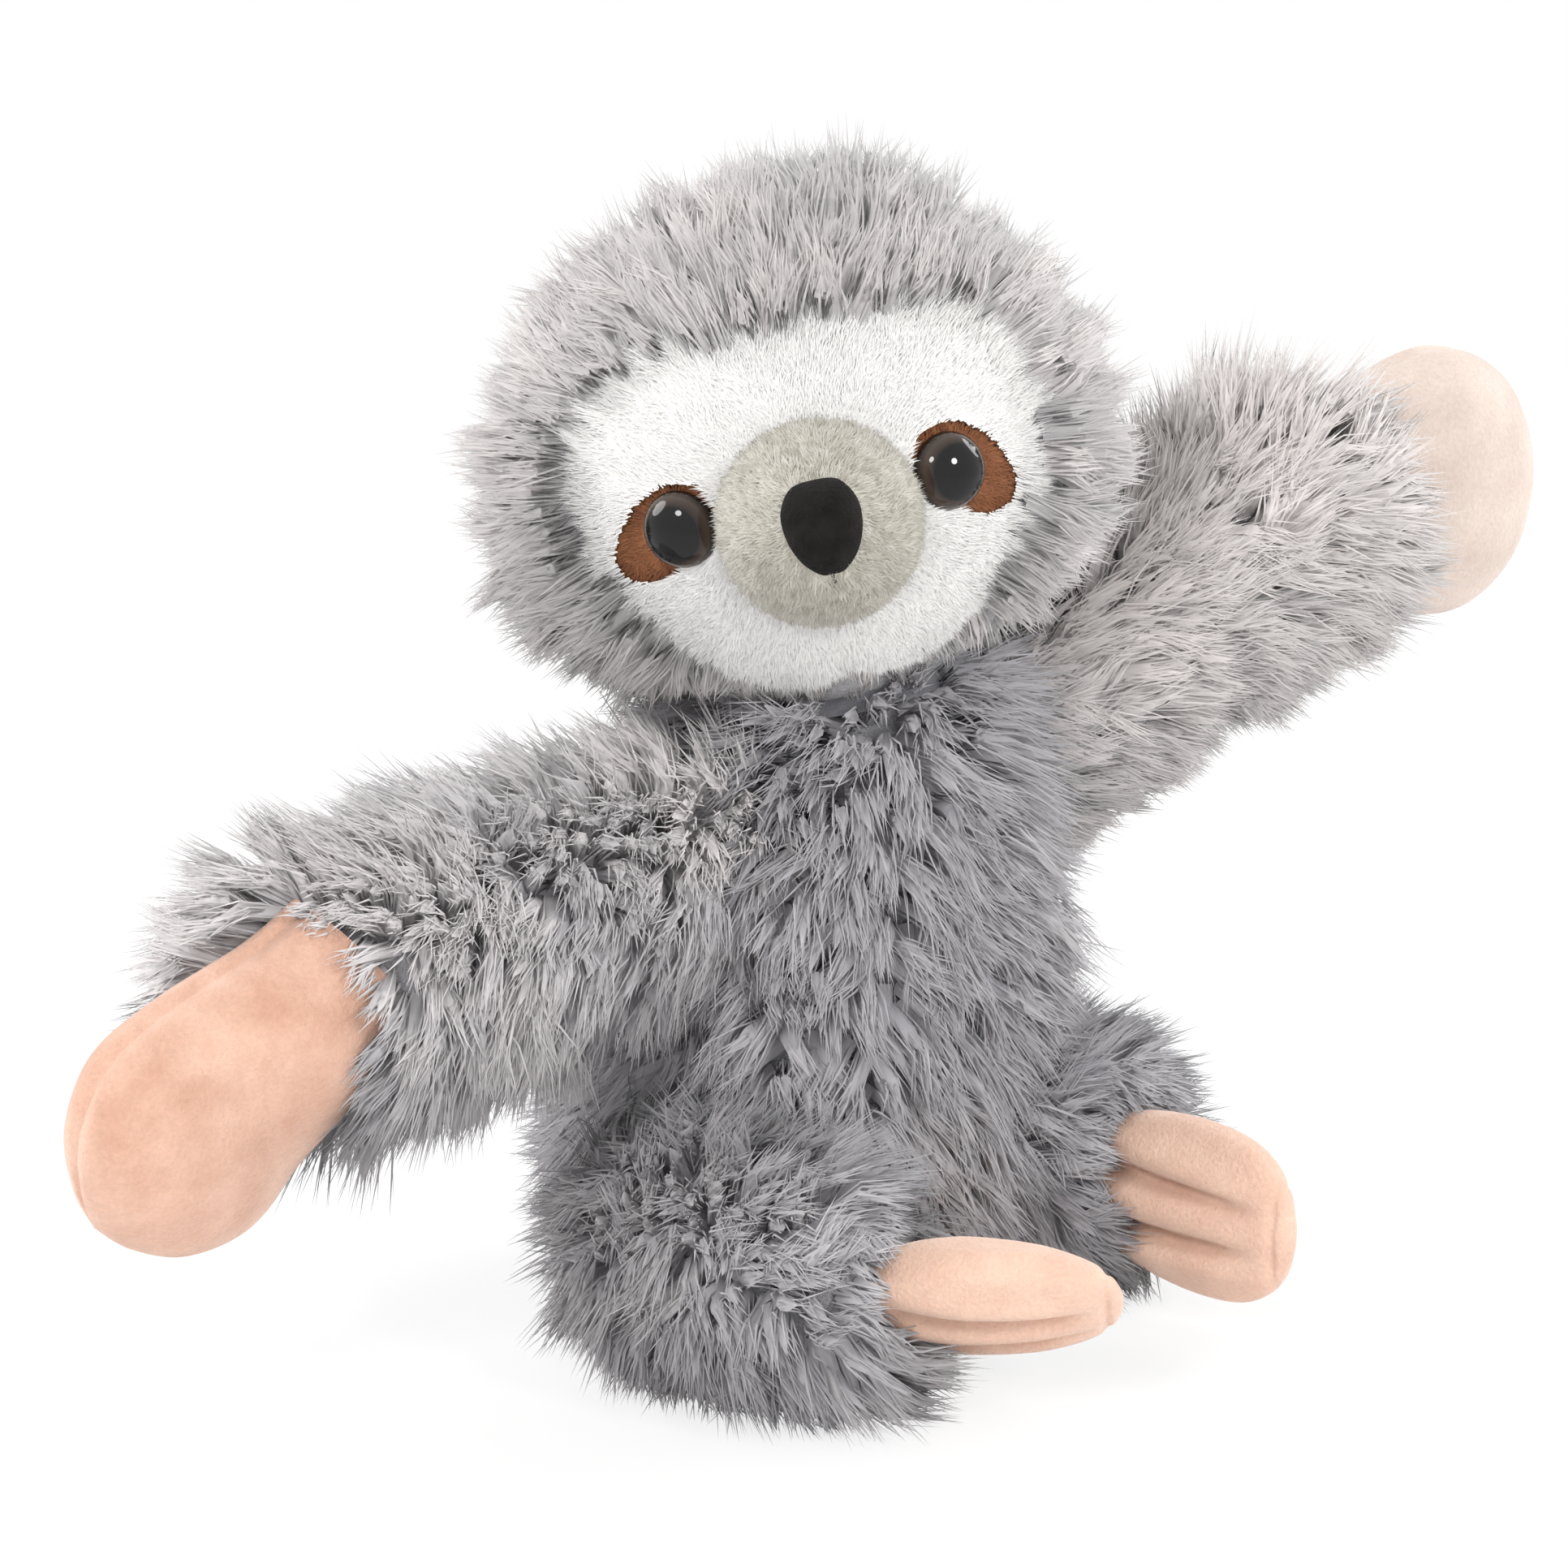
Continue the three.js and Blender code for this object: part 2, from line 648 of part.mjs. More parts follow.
// A cambered strip of the snap band, `grow` larger all round, as a prism along x.
function bandPrism(from, to, halfWide, halfThick) {
  const turn = halfWide / bandCamberRadius;
  const shape = new THREE.Shape();
  shape.absarc(0, 0, bandCamberRadius + halfThick, -turn, turn, false);
  shape.absarc(0, 0, bandCamberRadius - halfThick, turn, -turn, true);
  shape.closePath();
  const prism = new THREE.ExtrudeGeometry(shape, {
    depth: to - from, bevelEnabled: false, curveSegments: bandSteps,
  });
  prism.translate(-bandCamberRadius * Math.cos(turn / 2), 0, from);
  prism.rotateY(Math.PI / 2);
  prism.rotateX(Math.PI / 2);
  return solidOf(prism);
}

function bandParts() {
  const halfSleeve = bandThickness / 2 + sleeveSlack / 2 + sleeveWall;
  const end = bandStart + bandLength;
  const band = bandPrism(bandStart, end, bandWidth / 2, bandThickness / 2);
  const hollow = bandPrism(bandStart - gap, end + gap + sleeveWall * 2,
    bandWidth / 2 + gap, bandThickness / 2 + sleeveSlack / 2);
  const sleeve = bandPrism(bandStart - gap - sleeveWall, end + gap,
    bandWidth / 2 + gap + sleeveWall, halfSleeve).subtract(hollow);
  const slot = bandPrism(bandStart - gap * 2 - sleeveWall, end + gap * 2,
    bandWidth / 2 + gap * 2 + sleeveWall, halfSleeve + gap);
  return { band, sleeve, slot };
}

function handForm(shrink, around = aroundLimb) {
  const half = handHalfWide - shrink;
  const base = handBaseHalfWide - shrink;
  const [heelReachShare, heelWideShare] = handHeelShares;
  const profile = [
    [-handBaseHalfWide * heelReachShare, base * heelWideShare],
    [0, base],
    ...handProfileShares.map(([along, wide]) => [(handLength - shrink) * along, half * wide]),
  ];
  const share = (handHalfWide * handDepthShare - shrink) / half;
  return turned(profile, around, handSteps, share);
}

// The round end of a hinge, or with `grow` its room, whose facets lie outside the end's corners.
function hingeEgg(halfDeep, halfHigh, grow) {
  const clear = grow > 0 ? 1 / Math.cos(Math.PI / aroundHinge) : 1;
  const deep = (halfDeep + grow) * clear;
  return solidOf(egg(deep, deep, halfHigh + grow, aroundHinge, hingeRings));
}

function moved(solid, x) {
  return solid.translate([x, 0, 0]);
}

function armParts(side) {
  const front = side === "left" ? -1 : 1;
  const { band, sleeve, slot } = bandParts();
  const tube = armTube();
  const core = armCore(0);
  const coreRoom = armCore(gap);
  const elbowEgg = (grow) => hingeEgg(armRadius * armDepthShare, armRadius, grow);
  const wristEgg = (grow) => hingeEgg(wristHalfDeep, handBaseHalfWide, grow);

  const under = radians(armpitAngle);
  const over = radians(armTopAngle);
  let upper = keepBeyond(tube, new THREE.Vector3(Math.sin(under), 0, Math.cos(under)), gap);
  upper = keepBeyond(upper, new THREE.Vector3(Math.sin(over), 0, -Math.cos(over)), gap);
  upper = upper.add(solidOf(egg(shoulderBallRadius)));
  upper = innerSide(moved(upper, -elbowReach), front, elbowCutAngle).subtract(elbowEgg(gap));
  upper = moved(upper, elbowReach);

  const atElbow = moved(tube, -elbowReach);
  let fore = outerSide(atElbow, front, elbowCutAngle).add(atElbow.intersect(elbowEgg(0)));
  fore = moved(fore, elbowReach - wristReach);
  fore = innerSide(fore, front, wristCuffCutAngle).subtract(wristEgg(gap));
  fore = moved(fore, wristReach - elbowReach);

  const roll = radians(side === "left" ? leftHandRollAngle : rightHandRollAngle);
  const droop = radians(handDroopAngle);
  const drooped = (form) => solidOf(form.rotateX(roll).rotateY(droop));
  const handWhole = outerSide(drooped(handForm(0)), front, wristHandCutAngle).add(wristEgg(0));
  const handCore = drooped(handForm(velour + gap, aroundCore));
  const handCoreRoom = drooped(handForm(velour, aroundCore));
  const elbowSlot = moved(slot, -elbowReach);
  const wristSlot = moved(slot, -wristReach);
  const panels = handWhole.subtract(handCoreRoom).subtract(wristSlot);
  const palmSide = new THREE.Vector3(0, front, 0).applyAxisAngle(xAxis, roll)
    .applyAxisAngle(yAxis, droop);
  const palm = keepBeyond(panels, palmSide, gap / 2);
  const back = keepBeyond(panels, palmSide.clone().negate(), gap / 2);

  const shoulder = new THREE.Group();
  shoulder.name = side + "_shoulder";
  shoulder.position.copy(shoulderPlace(side));
  shoulder.rotation.set(0, -armRise[side], armHeading[side], "ZYX");
  shoulder.add(
    meshOf(mainBody(upper.subtract(coreRoom).subtract(slot)), side + "_upper_arm_skin", greyFur),
    meshOf(upper.intersect(core).subtract(slot), side + "_upper_arm_stuffing", fibreFill),
    meshOf(band, side + "_snap_band", springSteel),
    meshOf(sleeve, side + "_band_sleeve", calico),
  );
  const elbow = new THREE.Group();
  elbow.name = side + "_elbow";
  elbow.position.x = elbowReach;
  elbow.add(
    meshOf(fore.subtract(moved(coreRoom, -elbowReach)).subtract(elbowSlot),
      side + "_forearm_skin", greyFur),
    meshOf(fore.intersect(moved(core, -elbowReach)).subtract(elbowSlot),
      side + "_forearm_stuffing", fibreFill),
  );
  const wrist = new THREE.Group();
  wrist.name = side + "_wrist";
  wrist.position.x = wristReach - elbowReach;
  wrist.add(
    meshOf(mainBody(palm), side + "_palm", peachVelour),
    meshOf(mainBody(back), side + "_hand_back", peachVelour),
    meshOf(handWhole.intersect(handCore).subtract(wristSlot), side + "_hand_stuffing", fibreFill),
  );
  elbow.add(wrist);
  shoulder.add(elbow);
  return shoulder;
}

// Legs. x leaves the hip pivot, z is up, and the leg curves in the xy plane.

// Bends what was turned about the x axis onto an arc of the given length and total turn.
function bent(geometry, length, turn) {
  const place = geometry.attributes.position;
  const radius = length / turn;
  for (let i = 0; i < place.count; i += 1) {
    const along = place.getX(i) / radius;
    const across = radius - place.getY(i);
    const inside = place.getX(i) < 0;
    const x = inside ? place.getX(i) : across * Math.sin(along);
    const y = inside ? place.getY(i) : radius - across * Math.cos(along);
    place.setXYZ(i, x, y, place.getZ(i));
  }
  return geometry;
}

function legTube(length, turn) {
  const profile = [
    [0, legRootRadius],
    ...legFullShares.map((along) => [length * along, legRadius]),
    [length, ankleRadius],
  ];
  return solidOf(bent(turned(profile, aroundLimb, legSteps), length, turn));
}

function legCore(grow, length, turn) {
  const from = -hipBallRadius;
  const to = length + ankleBallRadius * legCoreEndShare;
  const profile = [
    [from, legCoreRootRadius + grow],
    [hipCutReach, legCoreRootRadius + grow],
    [to, legCoreRadius + grow],
  ];
  return solidOf(bent(turned(profile, aroundCore, coreSteps), length, turn));
}

// One toe lies along x from the ankle pivot.
function toe(shrink, length) {
  const radius = toeRadius - shrink;
  const [rootReachShare, rootWideShare] = toeRootShares;
  const profile = [
    [-radius, 0],
    [-toeRadius * rootReachShare, radius * rootWideShare],
    ...toeProfileShares.map(([along, wide]) => [(length - shrink) * along, radius * wide]),
  ];
  return turned(profile, aroundToe, toeSteps, toeDepthShare);
}

function footForm(shrink) {
  let form;
  for (const row of [-1, 0, 1]) {
    const length = row === 0 ? footLength : footLength * sideToeShare;
    const one = toe(shrink, length);
    one.rotateY(-row * radians(toeFanAngle));
    one.translate(0, 0, row * toePitch);
    form = form ? form.add(solidOf(one)) : solidOf(one);
  }
  return form;
}

// The stuffing of a foot is one flat egg under the three toes.
function footCoreForm(grow) {
  const halfLong = footLength / 2 - footCoreInset + grow;
  const halfThick = toeRadius * toeDepthShare - footCoreInset + grow;
  const halfWide = toePitch + toeRadius - footCoreInset * 2 + grow;
  const form = egg(halfLong, halfThick, halfWide, aroundCore);
  return solidOf(form.translate(footLength / 2 - ankleBallRadius * footCoreBackShare, 0, 0));
}

const footRoll = { right: radians(rightFootRollAngle), left: radians(leftFootRollAngle) };
const footPitch = { right: 0, left: radians(leftFootPitchAngle) };

function legParts(side) {
  const headingAngle = side === "left" ? leftLegHeadingAngle : rightLegHeadingAngle;
  const turnAngle = side === "left" ? leftLegTurnAngle : rightLegTurnAngle;
  const turn = radians(turnAngle);
  const outwards = side === "left" ? 1 : -1;
  const length = side === "left" ? leftLegLength : rightLegLength;
  const radius = length / turn;
  const drop = side === "left" ? leftAnkleDrop : rightAnkleDrop;
  const ankle = new THREE.Vector3(radius * Math.sin(turn), radius * (1 - Math.cos(turn)), -drop);

  let whole = legTube(length, turn);
  for (const swing of [radians(legOpenAngle) * outwards, -radians(legCloseAngle) * outwards]) {
    whole = keepBeyond(whole, new THREE.Vector3(Math.cos(swing), -Math.sin(swing), 0), hipCutReach);
  }
  whole = whole.add(solidOf(egg(hipBallRadius)));
  whole = whole.subtract(placed(socket(ankleBallRadius + gap), ankle));
  whole = keepBeyond(whole, zAxis, -hipPlace[side].z);

  const footTurn = new THREE.Euler(footRoll[side], footPitch[side], 0, "ZYX");
  const legAhead = xAxis.clone().applyQuaternion(new THREE.Quaternion().setFromEuler(footTurn).invert());
  let foot = footForm(0);
  for (const cut of [radians(ankleCutAngle), -radians(ankleCutAngle)]) {
    foot = keepBeyond(foot, legAhead.clone().applyAxisAngle(zAxis, cut), gap);
  }
  foot = foot.add(solidOf(egg(ankleBallRadius)));
  const footCore = footCoreForm(0);
  const footCoreRoom = footCoreForm(gap);
  const panels = foot.subtract(footCoreRoom);

  const hip = new THREE.Group();
  hip.name = side + "_hip";
  hip.position.copy(hipPlace[side]);
  hip.rotation.z = radians(headingAngle);
  hip.add(
    meshOf(whole.subtract(legCore(gap, length, turn)), side + "_leg_skin", greyFur),
    meshOf(whole.intersect(legCore(0, length, turn)), side + "_leg_stuffing", fibreFill),
  );
  const ankleGroup = new THREE.Group();
  ankleGroup.name = side + "_ankle";
  ankleGroup.position.copy(ankle);
  ankleGroup.rotation.set(footRoll[side], footPitch[side], turn, "ZYX");
  ankleGroup.add(
    meshOf(keepBeyond(panels, forwards, gap / 2), side + "_foot_top", peachVelour),
    meshOf(keepBeyond(panels, forwards.clone().negate(), gap / 2), side + "_foot_sole", peachVelour),
    meshOf(foot.intersect(footCore), side + "_foot_stuffing", fibreFill),
  );
  hip.add(ankleGroup);
  return hip;
}

// The whole toy

const sloth = new THREE.Group();
sloth.add(...torsoParts());

const neck = new THREE.Group();
neck.name = "neck";
neck.position.copy(neckPlace);
neck.rotation.set(0, -radians(headTiltAngle), radians(headYawAngle), "YXZ");
const thread = new THREE.Mesh(neckThread(0), greyThread);
thread.name = "neck_thread";
neck.add(thread, ...headParts());
sloth.add(neck);

for (const side of ["right", "left"]) {
  sloth.add(armParts(side));
  sloth.add(legParts(side));
}

export default sloth;
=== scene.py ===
# Looks of a seated plush sloth: long grey fur, a short-pile white face, velour hands and feet.
# Metres, +Z up, the face looks along -Y. Joints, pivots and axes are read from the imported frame.
import json
import math
import bpy
import numpy as np
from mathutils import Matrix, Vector


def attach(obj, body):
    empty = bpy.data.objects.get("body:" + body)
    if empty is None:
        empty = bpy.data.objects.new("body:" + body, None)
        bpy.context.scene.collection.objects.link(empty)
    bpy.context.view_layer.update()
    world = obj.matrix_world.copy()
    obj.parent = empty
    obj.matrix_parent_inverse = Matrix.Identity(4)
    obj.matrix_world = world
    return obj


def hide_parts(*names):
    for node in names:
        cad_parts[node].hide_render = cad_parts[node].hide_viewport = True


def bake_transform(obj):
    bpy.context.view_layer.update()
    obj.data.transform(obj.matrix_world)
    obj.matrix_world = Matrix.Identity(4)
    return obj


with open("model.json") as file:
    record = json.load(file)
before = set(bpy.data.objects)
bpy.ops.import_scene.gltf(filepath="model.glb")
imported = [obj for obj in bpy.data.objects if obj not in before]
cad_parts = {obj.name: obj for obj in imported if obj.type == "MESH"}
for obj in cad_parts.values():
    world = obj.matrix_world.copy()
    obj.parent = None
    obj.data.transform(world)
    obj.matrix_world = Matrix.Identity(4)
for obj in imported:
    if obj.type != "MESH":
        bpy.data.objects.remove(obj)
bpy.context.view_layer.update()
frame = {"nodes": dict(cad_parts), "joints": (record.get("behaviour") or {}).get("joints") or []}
joints = {joint["name"]: joint for joint in frame["joints"]}


# Places

def unit(vectors):
    # each vector divided by its own length
    return vectors / np.maximum(np.linalg.norm(vectors, axis=-1, keepdims=True), 1e-12)


def smooth(value, low, high):
    # 0 below low, 1 above high, and 3t^2 - 2t^3 between them
    t = np.clip((value - low) / (high - low), 0, 1)
    return t * t * (3 - 2 * t)


def joined(*parts):
    # arrays of coordinates, widened to one size, as points
    return np.stack(np.broadcast_arrays(*parts), -1)


def vector(x, y, z):
    # one point or direction
    return np.array([x, y, z], float)


def fullTurn(count):
    # even angles once round
    return np.linspace(0, 2 * np.pi, count, endpoint=False)


class Place:
    # an origin and three axes; out() carries local points to the world, turn() carries directions
    def __init__(self, origin, xAxis, zAxis):
        self.origin = np.array(origin, float)
        x, z = unit(np.array(xAxis, float)), unit(np.array(zAxis, float))
        self.axes = np.stack([x, np.cross(z, x), z])

    def out(self, points):
        return points @ self.axes + self.origin

    def turn(self, vectors):
        return vectors @ self.axes

    def back(self, points):
        return (points - self.origin) @ self.axes.T


def pivotOf(name):
    # the point that a joint turns about, in metres
    return np.array(joints[name]["pos_m"], float)


def axisOf(name):
    # the unit vector along a joint's axis
    return unit(np.array(joints[name]["axis"], float))


sides = ("right", "left")
headSides = (("right", -1), ("left", 1))
palmSign = {"right": 1, "left": -1}  # the palm faces this way along the arm's own y axis
neckPivot = pivotOf("head_nod")
headPlace = Place(neckPivot, axisOf("head_nod"), axisOf("head_turn"))
shoulderPivot, elbowPivot, wristPivot, hipPivot, anklePivot = (
    {side: pivotOf(side + name) for side in sides}
    for name in ("_shoulder_raise", "_elbow_curl", "_wrist_curl", "_hip_swing", "_ankle_flex"))
armPlace = {side: Place(shoulderPivot[side], elbowPivot[side] - shoulderPivot[side],
                        palmSign[side] * axisOf(side + "_elbow_curl")) for side in sides}
elbowReach = float(np.linalg.norm(elbowPivot["right"] - shoulderPivot["right"]))
wristReach = elbowReach + float(np.linalg.norm(wristPivot["right"] - elbowPivot["right"]))


# Curves and grids

def throughPoints(points, t):
    # Catmull-Rom: on each stretch a cubic whose end slopes are half the step between the neighbours
    p = np.array(points, float)
    last = len(p) - 1
    at = np.clip(t, 0, 1) * last
    i = np.minimum(at.astype(int), last - 1)
    f = (at - i)[..., None]
    before, start, end, after = p[np.maximum(i - 1, 0)], p[i], p[i + 1], p[np.minimum(i + 2, last)]
    slopeStart, slopeEnd = (end - before) / 2, (after - start) / 2
    return ((2 * start - 2 * end + slopeStart + slopeEnd) * f ** 3
            + (-3 * start + 3 * end - 2 * slopeStart - slopeEnd) * f ** 2 + slopeStart * f + start)


def polarOutline(outline, steps=720):
    # the distance from the middle to a closed smooth outline, as a function of the angle
    closed = np.array(outline, float)
    closed = np.concatenate([closed[-1:], closed, closed[:2]])
    last = len(closed) - 1
    x, y = throughPoints(closed, np.linspace(1, last - 1, steps, endpoint=False) / last).T
    angle = np.arctan2(y, x)
    order = np.argsort(angle)
    angle, reach = angle[order], np.hypot(x, y)[order]
    return lambda at: np.interp((at + np.pi) % (2 * np.pi) - np.pi, angle, reach, period=2 * np.pi)


def linked(name, data):
    # a new object in the scene
    thing = bpy.data.objects.new(name, data)
    bpy.context.scene.collection.objects.link(thing)
    return thing


def meshPiece(name, points, *faces, uv=None, normals=None):
    # a mesh object; the faces are turned round where the volume inside them comes out negative
    corner = [points[at] for at in faces[0].T]
    pairs = zip(corner[1:], corner[2:])
    if sum(np.einsum("ij,ij->", corner[0], np.cross(*pair)) for pair in pairs) < 0:
        faces = [kind[:, ::-1] for kind in faces]
    mesh = bpy.data.meshes.new(name)
    mesh.vertices.add(len(points))
    mesh.vertices.foreach_set("co", points.astype(np.float32).ravel())
    corners = np.concatenate([kind.ravel() for kind in faces]).astype(np.int32)
    sizes = np.concatenate([np.full(len(kind), kind.shape[1]) for kind in faces])
    mesh.loops.add(len(corners))
    mesh.loops.foreach_set("vertex_index", corners)
    mesh.polygons.add(len(sizes))
    mesh.polygons.foreach_set("loop_start", (np.cumsum(sizes) - sizes).astype(np.int32))
    mesh.polygons.foreach_set("use_smooth", np.ones(len(sizes), bool))
    if uv is not None:
        mesh.uv_layers.new(name="OFBake").uv.foreach_set("vector", uv[corners].astype(np.float32).ravel())
    mesh.update(calc_edges=True)
    if normals is not None:
        mesh.normals_split_custom_set_from_vertices(normals.tolist())
    else:
        mesh.set_sharp_from_angle(angle=math.radians(60))
    return linked(name, mesh)


def ringGrid(rows, columns):
    # the points' numbers, and faces between each point, its neighbour and the two above them
    index = np.arange(rows * columns).reshape(rows, columns)
    here, above = index[:-1], index[1:]
    return index, joined(here, np.roll(here, -1, 1), np.roll(above, -1, 1), above).reshape(-1, 4)


def loft(name, rings, uv=None):
    # rings of points joined into one closed skin, with a fan to the middle of each end ring
    index, quads = ringGrid(*rings.shape[:2])
    points = np.concatenate([rings.reshape(-1, 3), [rings[0].mean(0), rings[-1].mean(0)]])
    fans = [joined(np.roll(index[0], -1), index[0], index.size),
            joined(index[-1], np.roll(index[-1], -1), index.size + 1)]
    return meshPiece(name, points, quads, np.concatenate(fans), uv=uv)


def dress(piece, body, material, replaces=(), blend=None):
    # the piece's material, the body that it follows unless a blend is given (then it is fixed in place and
    # follows none), and the CAD nodes that it stands for
    piece.data.materials.append(material)
    if blend:
        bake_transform(piece)
    else:
        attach(piece, body)
    if replaces:
        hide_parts(*replaces)


# Materials

def setInputs(tree, node, inputs):
    # each input gets a value, or a link where it is given another node's output
    for name, value in inputs.items():
        if isinstance(value, bpy.types.NodeSocket):
            tree.links.new(value, node.inputs[name])
        else:
            node.inputs[name].default_value = value


def addNode(tree, kind, inputs=None, **settings):
    # a new node's outputs, once its settings and inputs are made
    node = tree.nodes.new("ShaderNode" + kind)
    for name, value in settings.items():
        setattr(node, name, value)
    setInputs(tree, node, inputs or {})
    return node.outputs


def newMaterial(name, inputs):
    # a material, its nodes and its shader with these inputs
    material = bpy.data.materials.new(name)
    material.use_nodes = True
    tree = material.node_tree
    shader = tree.nodes["Principled BSDF"]
    setInputs(tree, shader, {"Sheen Roughness": 0.45, **inputs})
    return material, tree, shader


def colourRamp(tree, share, colours, places=None):
    # colours or greys at their places from 0 to 1, evenly apart if none are given
    ramp = tree.nodes.new("ShaderNodeValToRGB")
    elements = ramp.color_ramp.elements
    while len(elements) < len(colours):
        elements.new(0.5)
    for element, at, colour in zip(elements, places or np.linspace(0, 1, len(colours)), colours):
        element.position = at
        element.color = (*np.broadcast_to(colour, 3), 1)
    tree.links.new(share, ramp.inputs["Fac"])
    return ramp.outputs["Color"]


def multiplied(tree, first, second):
    # the product of two colours, channel by channel
    return addNode(tree, "Mix", {"Factor": 1.0, "A": first, "B": second}, data_type="RGBA",
                   blend_type="MULTIPLY")["Result"]


def noiseOn(tree, scale, detail=2.0, roughness=0.5):
    # noise in the object's own coordinates
    place = addNode(tree, "TexCoord")["Object"]
    return addNode(tree, "TexNoise", {"Scale": scale, "Detail": detail, "Roughness": roughness,
                                      "Vector": place})["Fac"]


def bump(tree, height, strength, distance):
    # shading normals tilted by the slope of a height
    return addNode(tree, "Bump", {"Strength": strength, "Distance": distance, "Height": height})["Normal"]


def ownMap(tree):
    # the piece's UV map, whole and split in two
    uv = addNode(tree, "UVMap", uv_map="OFBake")["UV"]
    split = addNode(tree, "SeparateXYZ", {"Vector": uv})
    return uv, split["X"], split["Y"]


def strandMaterial(name, shades, root, roughness=0.7, sheen=0.2, streaks=(0.84, 1.0)):
    # across: the strand's own shade, with fine streaks; along: painted shade, darker at the root and lightest
    # at the tip
    material, tree, shader = newMaterial(name, {"Roughness": roughness, "Sheen Weight": sheen})
    uv, across, along = ownMap(tree)
    colour = multiplied(tree, colourRamp(tree, across, shades), colourRamp(tree, along, paintedRootShades[root]))
    stretched = addNode(tree, "Mapping", {"Scale": (60, 1.6, 1), "Vector": uv})["Vector"]
    noise = addNode(tree, "TexNoise", {"Scale": 1, "Detail": 3, "Vector": stretched})["Fac"]
    colour = multiplied(tree, colour, colourRamp(tree, noise, streaks, (0.32, 0.68)))
    tree.links.new(colour, shader.inputs["Base Color"])
    return material


def clothMaterial(name, dark, light, patchScale, napScale, napHeight, roughness=0.9, sheen=0.4,
                  sheenTint=(1, 1, 1), contrast=0.2, gloss=0.5):
    # colour drifts over soft patches and fine nap; the nap is also a bump
    material, tree, shader = newMaterial(name, {
        "Roughness": roughness, "Sheen Weight": sheen, "Sheen Tint": (*sheenTint, 1),
        "Specular IOR Level": gloss})
    patches = noiseOn(tree, patchScale, 3)
    nap = noiseOn(tree, napScale, 4, 0.65)
    colour = multiplied(tree, colourRamp(tree, patches, (dark, light), (0.5 - contrast, 0.5 + contrast)),
                        colourRamp(tree, nap, (0.86, 1), (0.3, 0.7)))
    setInputs(tree, shader, {"Base Color": colour, "Normal": bump(tree, nap, 0.8, napHeight)})
    return material


# painted shade along the strands: darker towards the root, where the depth of the fur shades it
paintedRootShades = {"long": [(0.76, 0.76, 0.78), (0.90, 0.90, 0.905), 1], "pile": [(0.95, 0.945, 0.94), 1]}
strandLooks = {  # colours from dark to light strands, roots, roughness, sheen, streaks
    "greyFur": ([(0.35, 0.34, 0.365), (0.53, 0.515, 0.53), (0.82, 0.775, 0.765)], "long"),
    "greyHeadFur": ([(0.39, 0.375, 0.38), (0.55, 0.525, 0.52), (0.84, 0.78, 0.755)], "long"),
    "whitePile": ([(0.93, 0.915, 0.89), (0.96, 0.95, 0.935)], "pile", 0.8, 0.1, (0.97, 1.0)),
    "muzzlePile": ([(0.42, 0.39, 0.33), (0.56, 0.53, 0.455), (0.70, 0.67, 0.60)], "pile", 0.8, 0.15),
    "brownPile": ([(0.13, 0.040, 0.013), (0.25, 0.085, 0.028), (0.40, 0.16, 0.06)], "pile", 0.8, 0.15),
}
peachNap = (110, 1300, 0.0005, 0.85)
peachTint = (1.0, 0.86, 0.78)
clothLooks = {  # dark and light colour, scales of patches and nap, nap height, roughness, sheen, tint
    "greyFurBacking": ((0.36, 0.355, 0.37), (0.44, 0.43, 0.44), 120, 900, 0.0012),
    "whitePlush": ((0.90, 0.89, 0.87), (0.94, 0.93, 0.92), 90, 1400, 0.0003, 0.9, 0.1),
    "peachVelour": ((0.73, 0.465, 0.355), (0.83, 0.57, 0.44), *peachNap, 0.55, peachTint),
    "palmVelour": ((0.60, 0.335, 0.235), (0.75, 0.475, 0.36), *peachNap, 0.55, peachTint),
    "palePeachVelour": ((0.60, 0.49, 0.43), (0.70, 0.585, 0.52), *peachNap, 0.25, (1.0, 0.92, 0.88)),
    "paleVelour": ((0.47, 0.45, 0.385), (0.60, 0.58, 0.51), 160, 1500, 0.0009, 0.9, 0.45, (1.0, 0.98, 0.92)),
    "brownVelour": ((0.16, 0.052, 0.018), (0.30, 0.105, 0.036), 330, 1900, 0.0006, 0.85, 0.35,
                    (1.0, 0.75, 0.55), 0.15),
    "blackVelour": ((0.004, 0.0035, 0.003), (0.014, 0.012, 0.011), 300, 1500, 0.0008, 0.95, 0.02,
                    (1, 1, 1), 0.2, 0.22),
    "fibreFill": ((0.82, 0.82, 0.81), (0.92, 0.92, 0.91), 80, 700, 0.001),
    "calico": ((0.76, 0.71, 0.60), (0.83, 0.79, 0.69), 60, 2400, 0.0003),
    "greyThread": ((0.17, 0.17, 0.19), (0.24, 0.24, 0.26), 200, 3000, 0.0003, 0.7),
}
looks = {name: strandMaterial(name, *values) for name, values in strandLooks.items()}
looks |= {name: clothMaterial(name, *values) for name, values in clothLooks.items()}


def steelLook():
    # steel with fine noise in its roughness
    material, tree, shader = newMaterial("springSteel", {
        "Metallic": 1.0, "Base Color": (0.62, 0.64, 0.66, 1)})
    roughness = colourRamp(tree, noiseOn(tree, 900), (0.25, 0.42), (0.3, 0.7))
    tree.links.new(roughness, shader.inputs["Roughness"])
    return material


def plasticLook():
    # moulded white plastic with a faint orange peel
    material, tree, shader = newMaterial("washerPlastic", {
        "Roughness": 0.45, "Base Color": (0.80, 0.80, 0.77, 1)})
    tree.links.new(bump(tree, noiseOn(tree, 1500), 0.15, 0.0002), shader.inputs["Normal"])
    return material


innerLooks = {"stuffing": looks["fibreFill"], "pellet_bag": looks["calico"], "band_sleeve": looks["calico"],
              "snap_band": steelLook(), "washer": plasticLook(), "thread": looks["greyThread"]}
for nodeName, node in frame["nodes"].items():
    for word, look in innerLooks.items():
        if word in nodeName:
            node.data.materials.clear()
            node.data.materials.append(look)
print("materials made")


# Fur: locks of thin closed strands; neighbouring locks lean together as a clump

